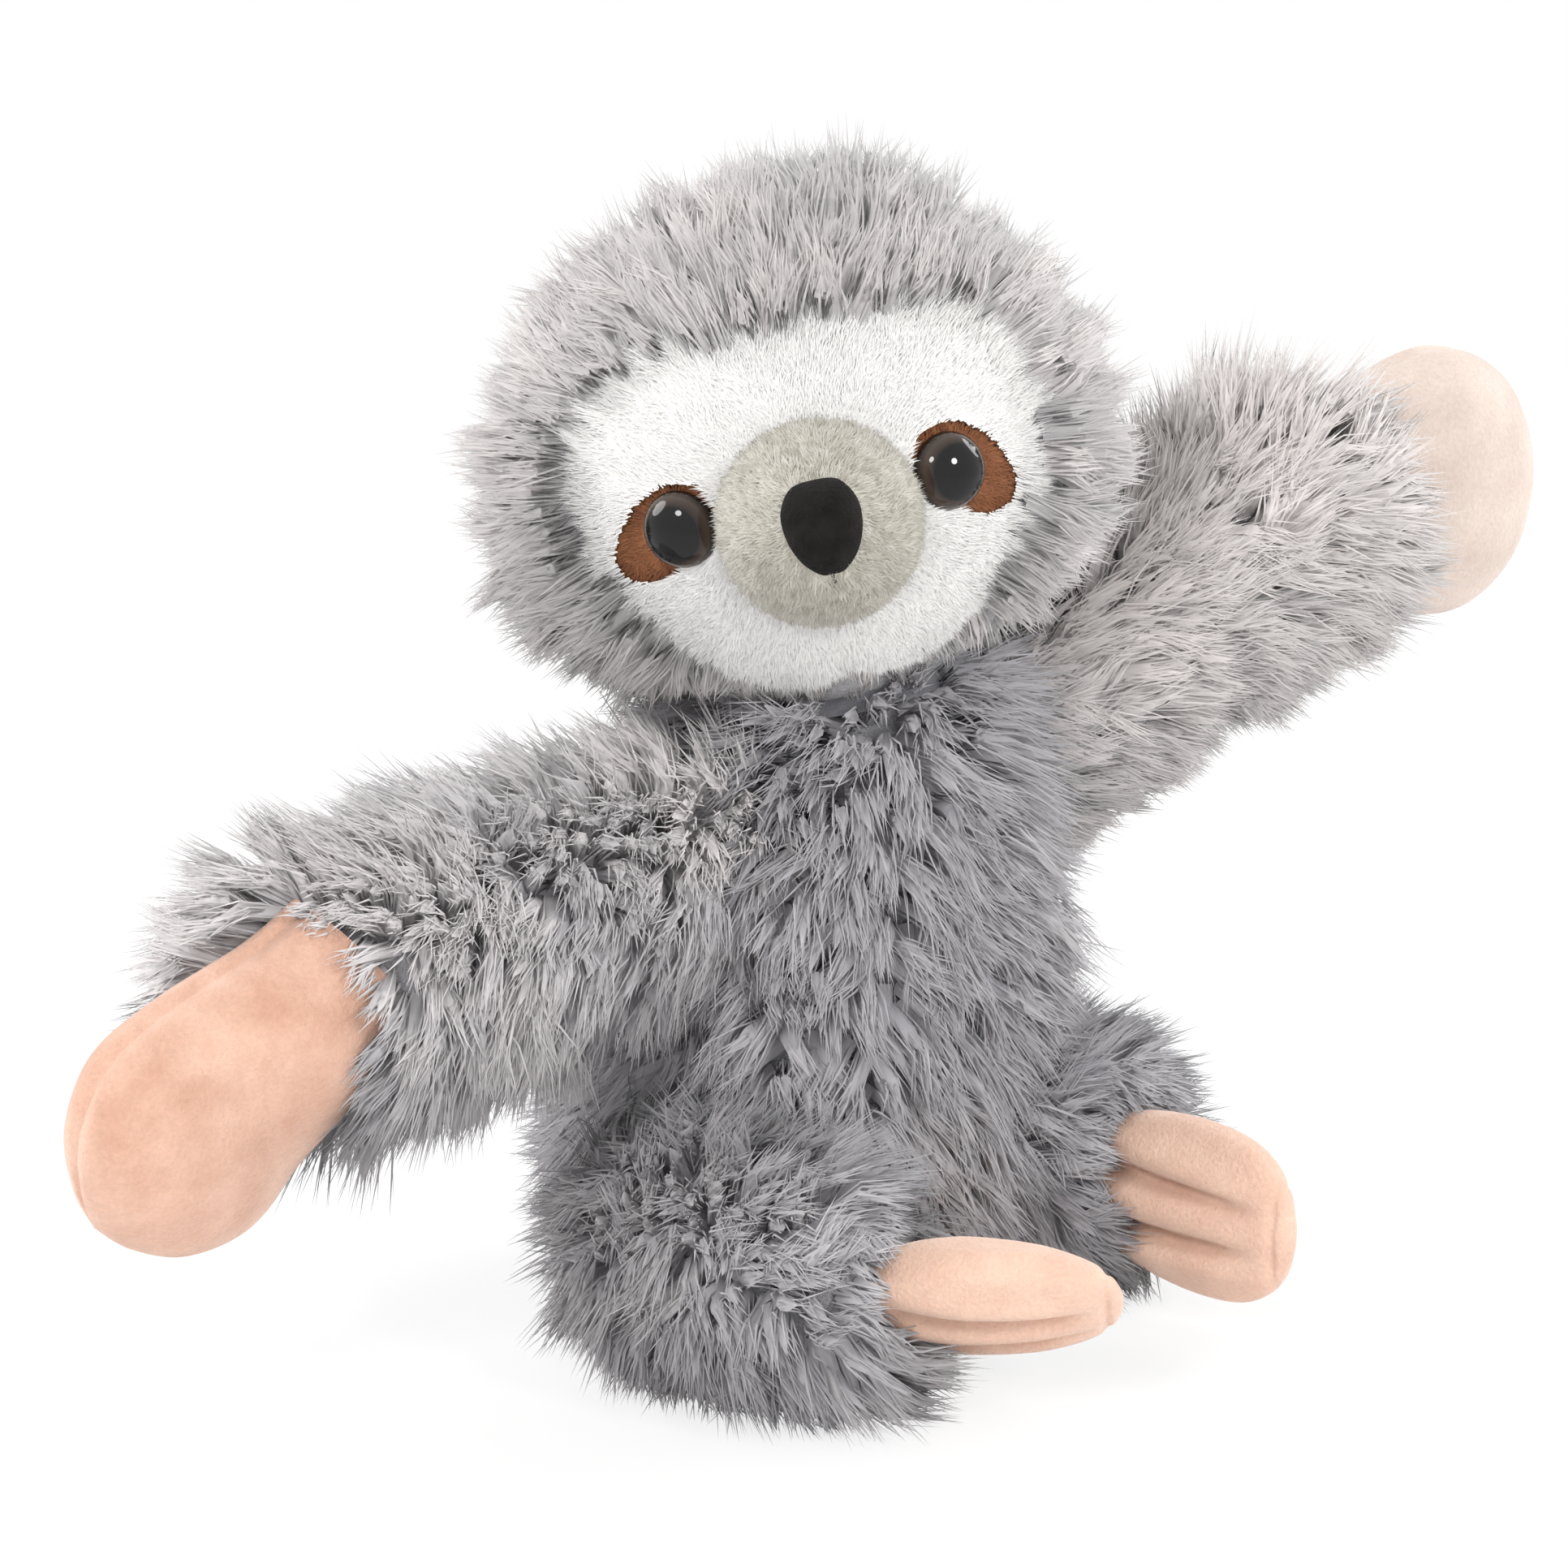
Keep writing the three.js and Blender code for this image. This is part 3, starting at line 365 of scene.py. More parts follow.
def spreadOut(points, spacing, rng):
    # one point in each cell of a shaken grid, so that the locks stand evenly
    order = rng.permutation(len(points))
    cells = np.floor((points[order] + rng.random(3) * spacing) / spacing).astype(np.int64)
    return order[np.unique(cells, axis=0, return_index=True)[1]]


def thinned(rng, spacing, places, *others, keep=slice(None)):
    # the places to keep, spread out, with what goes with each
    kept = np.arange(len(places))[keep]
    kept = kept[spreadOut(places[kept], spacing, rng)]
    return [values[kept] for values in (places, *others)]


def nearestOf(points, centres):
    # for each point, the index of the centre at the smallest distance
    parts = np.array_split(points, len(points) // 500 + 1)
    return np.concatenate([((part[:, None] - centres) ** 2).sum(-1).argmin(1) for part in parts])


def hairPath(roots, start, end, length, t):
    # path(t) = root + length * (t * start + t^2 / 2 * (end - start)), and its unit heading
    t = t[None, :, None]
    bend = (end - start)[:, None]
    path = roots[:, None] + length[:, None, None] * (t * start[:, None] + t * t / 2 * bend)
    return path, unit(start[:, None] + t * bend)


def hairTubes(path, heading, normal, radii, spin, soft):
    # rings of spokes round each path, and shading normals between the cloth's and the spoke's own
    sideways = unit(np.cross(heading, normal[:, None] + 0.01))
    upwards = np.cross(sideways, heading)
    spoke = sideways[:, :, None] * np.cos(spin)[..., None] + upwards[:, :, None] * np.sin(spin)[..., None]
    shading = unit(normal[:, None, None] * soft + spoke * (1 - soft))
    return path[:, :, None] + radii[..., None] * spoke, shading


def spikeFaces(count, rings, sides):
    # a fan over the root, the walls between the rings and a cone to the tip, for every spike
    faces = [(0, i + 1, i) for i in range(1, sides - 1)]
    tip = rings * sides
    for i in range(tip):
        beside = i - i % sides + (i + 1) % sides
        above = min(i + sides, tip)
        faces.append((i, beside, above))
        if above < tip:
            faces.append((beside, beside + sides, above))
    return (np.arange(count)[:, None, None] * (tip + 1) + np.array(faces)).reshape(-1, 3)


def growFur(name, centres, normals, flow, lengths, shades, fur, rng, lean=0.0):
    # strands drawn in by t^2 towards their lock and clump, round a soft streaked core in each lock
    perLock = fur["perLock"]
    locks = len(centres)
    count = locks * perLock
    clumps = spreadOut(centres, fur["clumpSpacing"], rng)
    owner = nearestOf(centres, centres[clumps])

    def varied(spread, clumpShare=0.75):
        # one value for each clump, and a smaller one for each lock in it
        own = rng.normal(0, spread * math.sqrt(1 - clumpShare ** 2), locks)
        return rng.normal(0, spread * clumpShare, len(clumps))[owner] + own

    along = unit(flow - normals * (flow * normals).sum(-1, keepdims=True))
    across = np.cross(normals, along)
    swirl = varied(fur["swirl"])[:, None]
    combed = along * np.cos(swirl) + across * np.sin(swirl)
    lockLean = varied(fur["leanSpread"]) + lean
    lockLength = lengths * (1 + np.clip(varied(fur["lockLengthSpread"]), -0.4, 0.4))
    lockShade = shades + varied(fur["lockShadeSpread"])
    pull = (centres - centres[clumps][owner]) * fur["clumpGather"]
    down = np.array([0, 0, -fur["droop"]])

    def headings(normal, comb, leans, loose):
        # unit vectors leaning from the normal towards the comb, at the root and at the tip
        low = np.clip(fur["startLean"] + leans, -0.4, 1.5)[:, None]
        high = np.clip(fur["endLean"] + leans, -0.2, 1.6)[:, None]
        return (unit(normal * np.cos(low) + comb * np.sin(low) + loose * 0.5),
                unit(normal * np.cos(high) + comb * np.sin(high) + loose + down))

    def finished(path, heading, normal, radii, sides, shade):
        # the spikes' points, shading normals, faces and (shade, share of length), kept off the floor
        count, rings = len(path), path.shape[1] - 1
        soft = fur["softness"]
        spin = rng.random(count)[:, None, None] * 2 * np.pi + np.arange(sides) * 2 * np.pi / sides
        spin = np.broadcast_to(spin, (count, rings, sides))
        points, shading = hairTubes(path[:, :-1], heading[:, :-1], normal, radii, spin, soft)
        tipShading = unit(normal * soft + heading[:, -1] * (1 - soft))
        points = np.concatenate([points.reshape(count, -1, 3), path[:, -1:]], 1)
        shading = np.concatenate([shading.reshape(count, -1, 3), tipShading[:, None]], 1)
        lift = rng.random(count)[:, None] * 0.0016
        points[..., 2] = np.maximum(points[..., 2], 0.0004 + lift)
        shade = np.broadcast_to(np.clip(shade, 0.02, 0.98), (count, rings, sides)).reshape(count, -1)
        u = np.concatenate([shade, shade.mean(1, keepdims=True)], 1)
        v = np.append(np.repeat(ringAt[:-1], sides), 1) * 0.96 + 0.02
        return (points.reshape(-1, 3), shading.reshape(-1, 3), spikeFaces(count, rings, sides),
                joined(u, v).reshape(-1, 2))

    ringAt = np.array(fur["ringAt"])
    drawn = (ringAt ** 2)[None, :, None]
    normal, strandAlong, strandAcross, comb, strandPull = (
        np.repeat(part, perLock, 0) for part in (normals, along, across, combed, pull))
    turn = rng.random(count) * 2 * np.pi
    reach = np.sqrt(rng.random(count)) * fur["lockRadius"]
    offset = strandAlong * (reach * np.cos(turn))[:, None] + strandAcross * (reach * np.sin(turn))[:, None]
    strandLean = np.repeat(lockLean, perLock) + rng.normal(0, fur["leanSpread"] * 0.35, count)
    start, end = headings(normal, comb, strandLean, rng.normal(0, fur["loose"], (count, 3)))
    length = np.repeat(lockLength, perLock) * rng.uniform(1 - fur["lengthSpread"], 1, count)
    path, heading = hairPath(np.repeat(centres, perLock, 0) + offset, start, end, length, ringAt)
    path = path - (offset * fur["gather"] + strandPull)[:, None] * drawn
    width = fur["width"] * rng.uniform(0.8, 1.2, count)
    radii = (width[:, None] * np.array(fur["ringWide"]) / 2)[..., None]
    shade = np.repeat(lockShade, perLock) + rng.normal(0, fur["shadeSpread"], count)
    groups = [finished(path, heading, normal, radii, 3, shade[:, None, None])]

    if fur["coreSides"]:
        start, end = headings(normals, combed, lockLean, 0)
        path, heading = hairPath(centres, start, end, lockLength * fur["coreLengthShare"], ringAt)
        path = path - pull[:, None] * drawn
        uneven = rng.uniform(0.7, 1.25, (locks, len(ringAt) - 1, fur["coreSides"]))
        thin = np.clip(lockLength / fur["length"], 0.3, 1)[:, None, None]
        radii = np.array(fur["coreWide"])[None, :, None] * fur["lockRadius"] * uneven * thin
        streaks = lockShade[:, None, None] - 0.04 + rng.normal(0, 0.07, (locks, 1, fur["coreSides"]))
        groups.append(finished(path, heading, normals, radii, fur["coreSides"], streaks))

    points, shading, faces, uv = zip(*groups)
    starts = np.cumsum([0] + [len(part) for part in points[:-1]])
    faces = np.concatenate([part + first for part, first in zip(faces, starts)])
    print(name, len(faces), "triangles")
    return meshPiece(name, np.concatenate(points), faces, uv=np.concatenate(uv),
                     normals=np.concatenate(shading))


longFur = {
    "perLock": 15, "lockRadius": 0.0019, "width": 0.00040,
    "startLean": 0.35, "endLean": 1.0, "leanSpread": 0.18,
    "swirl": 0.4, "loose": 0.12, "droop": 0.2, "gather": 0.5,
    "clumpSpacing": 0.0075, "clumpGather": 0.4,
    "lengthSpread": 0.32, "lockLengthSpread": 0.12, "shadeSpread": 0.03, "lockShadeSpread": 0.08,
    "ringAt": [0.0, 0.55, 1.0], "ringWide": [0.85, 1.0],
    "softness": 0.92,  # how far a strand is shaded as the cloth that it grows from
    "coreSides": 7, "coreLengthShare": 0.74, "coreWide": [0.85, 0.62],
    "length": 0.0165,
    "depth": 0.0045,  # the roots, below the CAD fur shell's outside
}
shortPile = {
    **longFur, "perLock": 3, "lockRadius": 0.0005, "width": 0.00022,
    "startLean": 0.7, "endLean": 1.3, "leanSpread": 0.13,
    "swirl": 0.35, "loose": 0.14, "droop": 0.0, "gather": 0.1,
    "clumpSpacing": 0.0028, "clumpGather": 0.08, "shadeSpread": 0.05, "lockShadeSpread": 0.05,
    "ringAt": [0.0, 1.0], "ringWide": [1.3], "softness": 0.96, "coreSides": 0,
}


def patchy(points, scale, seed):
    # slow waves over the surface, between about -1 and 1
    waves = np.random.default_rng(seed).normal(0, scale, (3, 5))
    return np.sin(points @ waves + np.arange(5)).sum(1) / 2.5


def drift(points, middle=0.5):
    # the cloth's shade wanders slowly about its middle
    return middle + 0.10 * patchy(points, 90, 5)


# Head

headShape = {
    "halves": (0.040, 0.036, 0.0355),  # across, deep and high
    "middle": (0, -0.003, 0.0425),  # from the neck
    "pile": 0.0085,
    "cheek": 0.025,  # how much wider the head is below its middle
    "faceHalfWide": 0.0364, "faceTop": 0.0255, "faceBottom": 0.030, "chinNotch": 0.002,
    "furLength": 0.0138, "furNearFace": 0.0110, "lockSpacing": 0.00328, "tries": 60000,
    "neckClear": 0.0215,  # no hair grows nearer to the neck than this
    "topLean": 0.2, "sideLean": {1: 0.22, -1: 0.0}, "faceLean": -0.3, "chinLean": 0.35,
    "chinShorter": 0.58, "chinSink": 0.0028,  # under the chin
    # painted light: the head's right side (-1) is painted lighter than its left
    "shade": {1: 0.5, -1: 0.6},
}
headMiddle = np.array(headShape["middle"])
faceOutlineShares = [(0.28, 0.98), (0.62, 0.93), (0.88, 0.7), (1, 0.32), (0.98, -0.02), (0.87, -0.32),
                     (0.66, -0.68), (0.4, -0.92), (0.16, -1)]


def headHalves(extra):
    # the head's half sizes, grown alike in every direction
    return np.array(headShape["halves"]) + extra


def headSphere(directions, extra):
    # a sphere stretched to the head's half sizes; below its middle it widens to the cheeks
    points = directions * headHalves(extra)
    points[..., :1] *= 1 + headShape["cheek"] * np.cos(np.pi * directions[..., 2:])
    return points + headMiddle


def headFront(x, z, extra):
    # the front of the head at x across and z above its centre
    wide, deep, high = (half + extra for half in headShape["halves"])
    inside = np.clip(1 - (x / wide) ** 2 - (z / high) ** 2, 0, 1)
    return joined(x, headMiddle[1] - deep * np.sqrt(inside), z + headMiddle[2])


def headNormal(local):
    # outwards from the stretched sphere: each offset from its middle over the half size squared
    return unit((local - headMiddle) / headHalves(0) ** 2)


def growOnHead(name, local, normal, flow, *rest):
    # fur from places and directions in the head's own axes
    return growFur(name, headPlace.out(local), headPlace.turn(normal), headPlace.turn(flow), *rest)


def halfOutline(shares, halfWide, top, bottom):
    # points at shares of the half width, and of the height above or below the middle
    return [(wide * halfWide, high * (top if high > 0 else bottom)) for wide, high in shares]


def mirrored(points):
    # the same points on the other side of the middle, in reverse order
    return [(-x, z) for x, z in reversed(points)]


def faceOutline():
    # one half, the notch under the chin and the other half
    s = headShape
    half = halfOutline(faceOutlineShares, s["faceHalfWide"], s["faceTop"], s["faceBottom"])
    return [*half, (0, s["chinNotch"] - s["faceBottom"]), *mirrored(half)]


faceReach = polarOutline(faceOutline())


def faceShare(local):
    # 0 in the middle of the face panel, 1 at its edge, large behind the head
    x, z = local[..., 0], local[..., 2] - headMiddle[2]
    return np.where(local[..., 1] < headMiddle[1], np.hypot(x, z) / faceReach(np.arctan2(z, x)), 9)


def headBacking():
    # the stretched sphere, nearer to the filling under the face panel than under the fur
    polar = np.linspace(0.02, np.pi - 0.02, 64)[:, None]
    turn = fullTurn(96)
    directions = joined(np.sin(polar) * np.cos(turn), np.sin(polar) * np.sin(turn), np.cos(polar))
    extra = 0.0004 + 0.0034 * smooth(faceShare(headSphere(directions, 0)), 0.93, 1.07)
    return loft("headBacking", headPlace.out(headSphere(directions, extra[..., None])))


def headFur(name, sign, rng):
    # hair lies away from the middle of the face, and down behind the head
    s = headShape
    directions = unit(rng.normal(0, 1, (s["tries"], 3)))
    local = headSphere(directions, s["pile"] - longFur["depth"])
    share = faceShare(local)
    keep = (share > 1.015) & (local[:, 0] * sign > 0) & (np.linalg.norm(local, axis=1) > s["neckClear"])
    local, directions, share = thinned(rng, s["lockSpacing"], local, directions, share, keep=keep)
    normal = unit(directions / headHalves(s["pile"]))
    backward = smooth(normal[:, 1], 0.2, 0.9)[:, None]
    flow = vector(0, 1, 0) * (1 - backward) + vector(0, 0.1, -1) * backward
    flow = flow + directions * vector(0.35, 0, 0.25)
    underChin = smooth(-directions[:, 2], 0.40, 0.80) * smooth(-directions[:, 1], -0.15, 0.25)
    flow = flow * (1 - underChin[:, None]) + vector(0, 0.5, -1) * underChin[:, None]
    length = s["furNearFace"] + (s["furLength"] - s["furNearFace"]) * smooth(share, 1.0, 1.5)
    length = length * (1 - s["chinShorter"] * underChin)
    local = local - normal * (s["chinSink"] * underChin)[:, None]
    lean = s["chinLean"] * underChin + s["topLean"] * smooth(normal[:, 2], 0.45, 0.95)
    lean = lean + s["sideLean"][sign] * smooth(normal[:, 0] * sign, 0.3, 0.9)
    lean = lean + s["faceLean"] * (1 - smooth(share, 1.02, 1.22)) * (1 - underChin)
    fur = {**longFur, "startLean": 0.3, "endLean": 0.85, "droop": 0.04, "swirl": 0.3,
           "clumpSpacing": 0.0062, "clumpGather": 0.5, "lockLengthSpread": 0.17}
    # the right side's higher middle shade is painted light
    return growOnHead(name, local, normal, flow, length, drift(headPlace.out(local), s["shade"][sign]), fur,
                      rng, lean)


dress(headBacking(), "head", looks["greyFurBacking"], ["head_skin"])
for seed, (side, sign) in enumerate(headSides):
    dress(headFur(side + "HeadFur", sign, np.random.default_rng(11 + seed)), "head", looks["greyHeadFur"])

# Face

faceShape = {
    "backing": 0.0030,  # the panel's cloth, above the stuffing
    "thickness": 0.0024, "rimDrop": 0.0002, "patchDip": 0.0022,
    "pileLength": 0.0030, "pileSpacing": 0.00052, "tries": 120000,
    "fringe": 1.2,  # how much longer the hair is at the rim
    "fringeDepth": 0.0022, "muzzleClear": 0.0145, "patchClear": 0.97,
}
muzzleShape = {
    "radius": 0.0157, "halfLength": 0.024, "reach": 0.034, "drop": 0.0032, "pitch": math.radians(3),
    "creaseDepth": 0.0007, "creaseWidth": 0.0009,
    "noseHalfWide": 0.0059, "noseTop": 0.0066, "noseBottom": 0.0074, "noseLift": 0.0020, "noseHeight": 0.0019,
    "stitchLength": 0.0030, "stitchRadius": 0.00032,
    "napLength": 0.0019, "napSpacing": 0.00058, "tries": 60000,
}
eyeShape = {
    "radius": 0.0061, "bulge": 0.0046, "x": 0.0207, "z": -0.0004, "cloth": 0.0018, "gap": 0.0003,
    "stemRadius": 0.0021, "stemLength": 0.013,
}
patchShape = {
    "halfLong": 0.0100, "halfWide": 0.0064, "shift": 0.0028, "lower": 0.0008, "top": 0.0020,
    "drop": {1: math.radians(48), -1: math.radians(38)},
    "thickness": 0.0014, "taper": 0.12, "pileLength": 0.0014, "pileSpacing": 0.00055, "tries": 30000,
    "rimDrop": 0.0008,
}


def panelSolid(name, reach, centre, topAt, thickness, rimDrop, rows=26, columns=120, dip=None):
    # a padded patch: rings from its middle to its outline, over the head's front, and back underneath
    share = np.linspace(0.03, 1, rows)[:, None]
    turn = fullTurn(columns)
    x = centre[0] + share * reach(turn) * np.cos(turn)
    z = centre[1] + share * reach(turn) * np.sin(turn)
    drop = rimDrop * share ** 6 + (dip(x, z) if dip else 0)
    top, under = headFront(x, z, topAt - drop), headFront(x, z, topAt - thickness - drop)
    return loft(name, headPlace.out(np.concatenate([top, under[::-1]])))


def patchReach(sign):
    # an ellipse whose outer end droops and narrows
    s = patchShape
    turn = fullTurn(64)
    long = s["halfLong"] * np.cos(turn)
    wide = s["halfWide"] * np.sin(turn) * (1 - s["taper"] * np.cos(turn))
    drop = s["drop"][sign]
    return polarOutline(joined(sign * (long * np.cos(drop) + wide * np.sin(drop)),
                               -long * np.sin(drop) + wide * np.cos(drop)))


patchReaches = {sign: patchReach(sign) for sign in (1, -1)}
patchCentre = {sign: (sign * (eyeShape["x"] + patchShape["shift"]), eyeShape["z"] - patchShape["lower"])
               for sign in (1, -1)}


def patchShare(sign, x, z):
    # 0 in the middle of a brown patch, 1 at its edge
    x, z = x - patchCentre[sign][0], z - patchCentre[sign][1]
    return np.hypot(x, z) / patchReaches[sign](np.arctan2(z, x))


def patchDip(x, z):
    # how far the white panel sinks under the brown patches
    return sum(faceShape["patchDip"] * (1 - smooth(patchShare(sign, x, z), 0.92, 1.06)) for sign in (1, -1))


def fromEye(sign, x, z):
    # the distance from the middle of an eye, seen from the front
    return np.hypot(x - sign * eyeShape["x"], z - eyeShape["z"])


def whitePile(name, side, rng):
    # short hair over half of the panel, lying away from the muzzle and over the rim
    s = faceShape
    turn = rng.random(s["tries"]) * 2 * np.pi
    share = np.sqrt(rng.random(s["tries"]))
    reach = faceReach(turn)
    x, z = share * reach * np.cos(turn), share * reach * np.sin(turn)
    fromMuzzle = np.hypot(x, z + muzzleShape["drop"])
    keep = (fromMuzzle > s["muzzleClear"]) & (x * side > 0)
    for sign in (1, -1):
        keep &= (patchShare(sign, x, z) > s["patchClear"]) & (fromEye(sign, x, z) > eyeShape["radius"])
    x, z, share, fromMuzzle = x[keep], z[keep], share[keep], fromMuzzle[keep]
    rim = smooth(share, 0.965, 0.98) * rng.random(len(share)) * s["fringeDepth"]
    local = headFront(x, z, s["backing"] - s["rimDrop"] * share ** 6 - 0.0003 - rim)
    local, x, z, share, fromMuzzle = thinned(rng, s["pileSpacing"], local, x, z, share, fromMuzzle)
    normal = headNormal(local)
    flow = unit(joined(x, 0, z + muzzleShape["drop"]))
    flow = flow + 0.35 * patchy(local, 260, 3)[:, None] * np.cross(normal, flow)
    fringe = s["fringe"] * smooth(share, 0.86, 1.0) * (1 - 0.85 * smooth(-z, 0.010, 0.024))
    lean = -0.5 * (1 - smooth(fromMuzzle, 0.015, 0.019)) - 0.45 * smooth(share, 0.86, 1.0)
    fur = {**shortPile, "startLean": 0.6, "endLean": 1.15, "softness": 0.95}
    return growOnHead(name, local, normal, flow, s["pileLength"] * (0.85 + fringe), drift(local, 0.6), fur,
                      rng, lean)


def patchPile(name, sign, rng):
    # very short hair over the brown patch, lying outwards from the eye
    s = patchShape
    turn = rng.random(s["tries"]) * 2 * np.pi
    reach = np.sqrt(rng.random(s["tries"])) * patchReaches[sign](turn)
    x = patchCentre[sign][0] + reach * np.cos(turn)
    z = patchCentre[sign][1] + reach * np.sin(turn)
    keep = (fromEye(sign, x, z) > eyeShape["radius"] * 0.96) & (np.hypot(x, z + muzzleShape["drop"]) > 0.0155)
    local, x, z = thinned(rng, s["pileSpacing"], headFront(x, z, s["top"] - 0.0002), x, z, keep=keep)
    flow = joined(x - sign * eyeShape["x"], 0, z - eyeShape["z"])
    length = s["pileLength"] * rng.uniform(0.8, 1.3, len(local))
    return growOnHead(name, local, headNormal(local), flow, length, drift(local, 0.5),
                      {**shortPile, "softness": 0.85, "lockShadeSpread": 0.14}, rng)


panel = panelSolid("facePanel", faceReach, (0, 0), faceShape["backing"], faceShape["thickness"],
                   faceShape["rimDrop"], 110, 300, patchDip)
dress(panel, "head", looks["whitePlush"], ["face_panel"])
for side, sign in reversed(headSides):
    patch = panelSolid(side + "EyePatch", patchReaches[sign], patchCentre[sign], patchShape["top"],
                       patchShape["thickness"], patchShape["rimDrop"])
    dress(patch, "head", looks["brownVelour"], [side + "_eye_patch"])
for pile, name, look, slot, start in ((whitePile, "FacePile", "whitePile", "white_plush", 21),
                                      (patchPile, "PatchPile", "brownPile", "brown_velour", 24)):
    for seed, (side, sign) in enumerate(headSides):
        dress(pile(side + name, sign, np.random.default_rng(start + seed)), "head", looks[look])
muzzleCentre = headMiddle - np.array([0, muzzleShape["reach"], muzzleShape["drop"]])


def muzzlePoint(across, up, extra):
    # on the egg at shares across and up of its radius, carried forwards and pitched upwards
    s = muzzleShape
    x, z = across * (s["radius"] + extra), up * (s["radius"] + extra)
    y = -np.sqrt(np.clip(1 - across ** 2 - up ** 2, 0, 1)) * (s["halfLength"] + extra)
    cos, sin = np.cos(s["pitch"]), np.sin(s["pitch"])
    return joined(x, y * cos + z * sin, -y * sin + z * cos) + muzzleCentre


def muzzle():
    # the front half of the egg, with a crease down its middle under the nose, closed behind
    s = muzzleShape
    polar = np.linspace(0.03, np.pi / 2, 40)[:, None]
    turn = fullTurn(96)
    across, up = np.sin(polar) * np.cos(turn), np.sin(polar) * np.sin(turn)
    crease = np.exp(-(across * s["radius"] / s["creaseWidth"]) ** 2) * smooth(-up, 0.25, 0.5)
    front = muzzlePoint(across, up, -(s["creaseDepth"] * crease))
    behind = muzzlePoint(across[-1:], up[-1:], -0.0002) + vector(0, 0.010, 0)
    inner = muzzlePoint(across[-1:] * 0.6, up[-1:] * 0.6, 0.0) * vector(1, 0, 1) + behind * [0, 1, 0]
    return loft("muzzlePad", headPlace.out(np.concatenate([front, behind, inner])))


def muzzleNap(rng):
    # woolly hair on the egg's front half, lying back from the nose in small locks
    s = muzzleShape
    share = np.sqrt(rng.random(s["tries"])) * 0.985
    turn = rng.random(s["tries"]) * 2 * np.pi
    across, up = share * np.cos(turn), share * np.sin(turn)
    x, z = across * s["radius"], up * s["radius"] - s["noseLift"]
    keep = np.hypot(x / s["noseHalfWide"], z / s["noseTop"]) > 0.85
    keep &= ~((np.abs(x) < 0.00035) & (up < 0))
    local = muzzlePoint(across, up, -0.0002)
    local, across, up = thinned(rng, s["napSpacing"], local, across, up, keep=keep)
    ahead = np.sqrt(np.clip(1 - across ** 2 - up ** 2, 0, 1)) * s["radius"]
    normal = unit(joined(across, -ahead / s["halfLength"], up))
    flow = joined(across, 0.8, up - 0.35)
    flow = flow + 0.9 * patchy(local, 420, 13)[:, None] * np.cross(normal, flow)
    fur = {**shortPile, "startLean": 0.5, "endLean": 1.15, "clumpSpacing": 0.0014, "clumpGather": 0.35,
           "lockShadeSpread": 0.30, "shadeSpread": 0.12, "softness": 0.75, "loose": 0.25}
    return growOnHead("muzzleNap", local, normal, flow, np.full(len(local), s["napLength"]),
                      drift(local, 0.52), fur, rng)


noseOutlineShares = [(0, 1), (0.62, 0.9), (0.98, 0.42), (0.97, -0.15), (0.73, -0.62), (0.36, -0.93),
                     (0.1, -1)]


def nosePad():
    # rings from the nose's middle to its outline, domed over the muzzle
    s = muzzleShape
    half = halfOutline(noseOutlineShares, s["noseHalfWide"], s["noseTop"], s["noseBottom"])
    reach = polarOutline([*half, *mirrored(half[1:])][::-1])
    share = np.linspace(0.03, 1, 22)[:, None]
    turn = fullTurn(96)
    across = share * reach(turn) * np.cos(turn) / s["radius"]
    up = (share * reach(turn) * np.sin(turn) + s["noseLift"]) / s["radius"]
    dome = s["noseHeight"] * np.sqrt(np.clip(1 - share ** 4, 0, 1))
    seam = 0.0003 * np.exp(-(across * s["radius"] / 0.0006) ** 2) * smooth(-up, 0.1, 0.3)
    top, under = muzzlePoint(across, up, 0.0002 + dome - seam), muzzlePoint(across, up, -0.0004)
    return loft("nosePad", headPlace.out(np.concatenate([top, under[::-1]])))


def mouthStitch():
    # one thick stitch from the nose's lower point down the muzzle's crease
    s = muzzleShape
    start = (s["noseLift"] - s["noseBottom"] + 0.0006) / s["radius"]
    up = np.linspace(start, start - s["stitchLength"] / s["radius"], 14)
    middle = muzzlePoint(0 * up, up, 0.0004 * np.sin(np.linspace(0, np.pi, 14)) - 0.0004)
    ring = joined(np.cos(fullTurn(10)), np.sin(fullTurn(10)), 0) * s["stitchRadius"]
    taper = np.sqrt(np.sin(np.linspace(0.1, np.pi - 0.1, 14)))[:, None, None]
    return loft("mouthStitch", headPlace.out(middle[:, None] + ring * taper))


dress(muzzle(), "head", looks["paleVelour"], ["muzzle"])
dress(muzzleNap(np.random.default_rng(27)), "head", looks["muzzlePile"])
dress(nosePad(), "head", looks["blackVelour"], ["nose"])
dress(mouthStitch(), "head", looks["blackVelour"])


def eyeLook():
    # black pupil, a brown-grey ring round it and a dark rim, all of it glossy
    material, tree, shader = newMaterial("eyePlastic", {"Roughness": 0.05, "Specular IOR Level": 0.38})
    colours = (0.002, 0.003, (0.024, 0.016, 0.012), (0.060, 0.042, 0.033), (0.03, 0.02, 0.014),
               (0.008, 0.006, 0.004))
    ring = colourRamp(tree, ownMap(tree)[2], colours, (0.0, 0.70, 0.76, 0.9, 0.965, 1.0))
    tree.links.new(ring, shader.inputs["Base Color"])
    return material


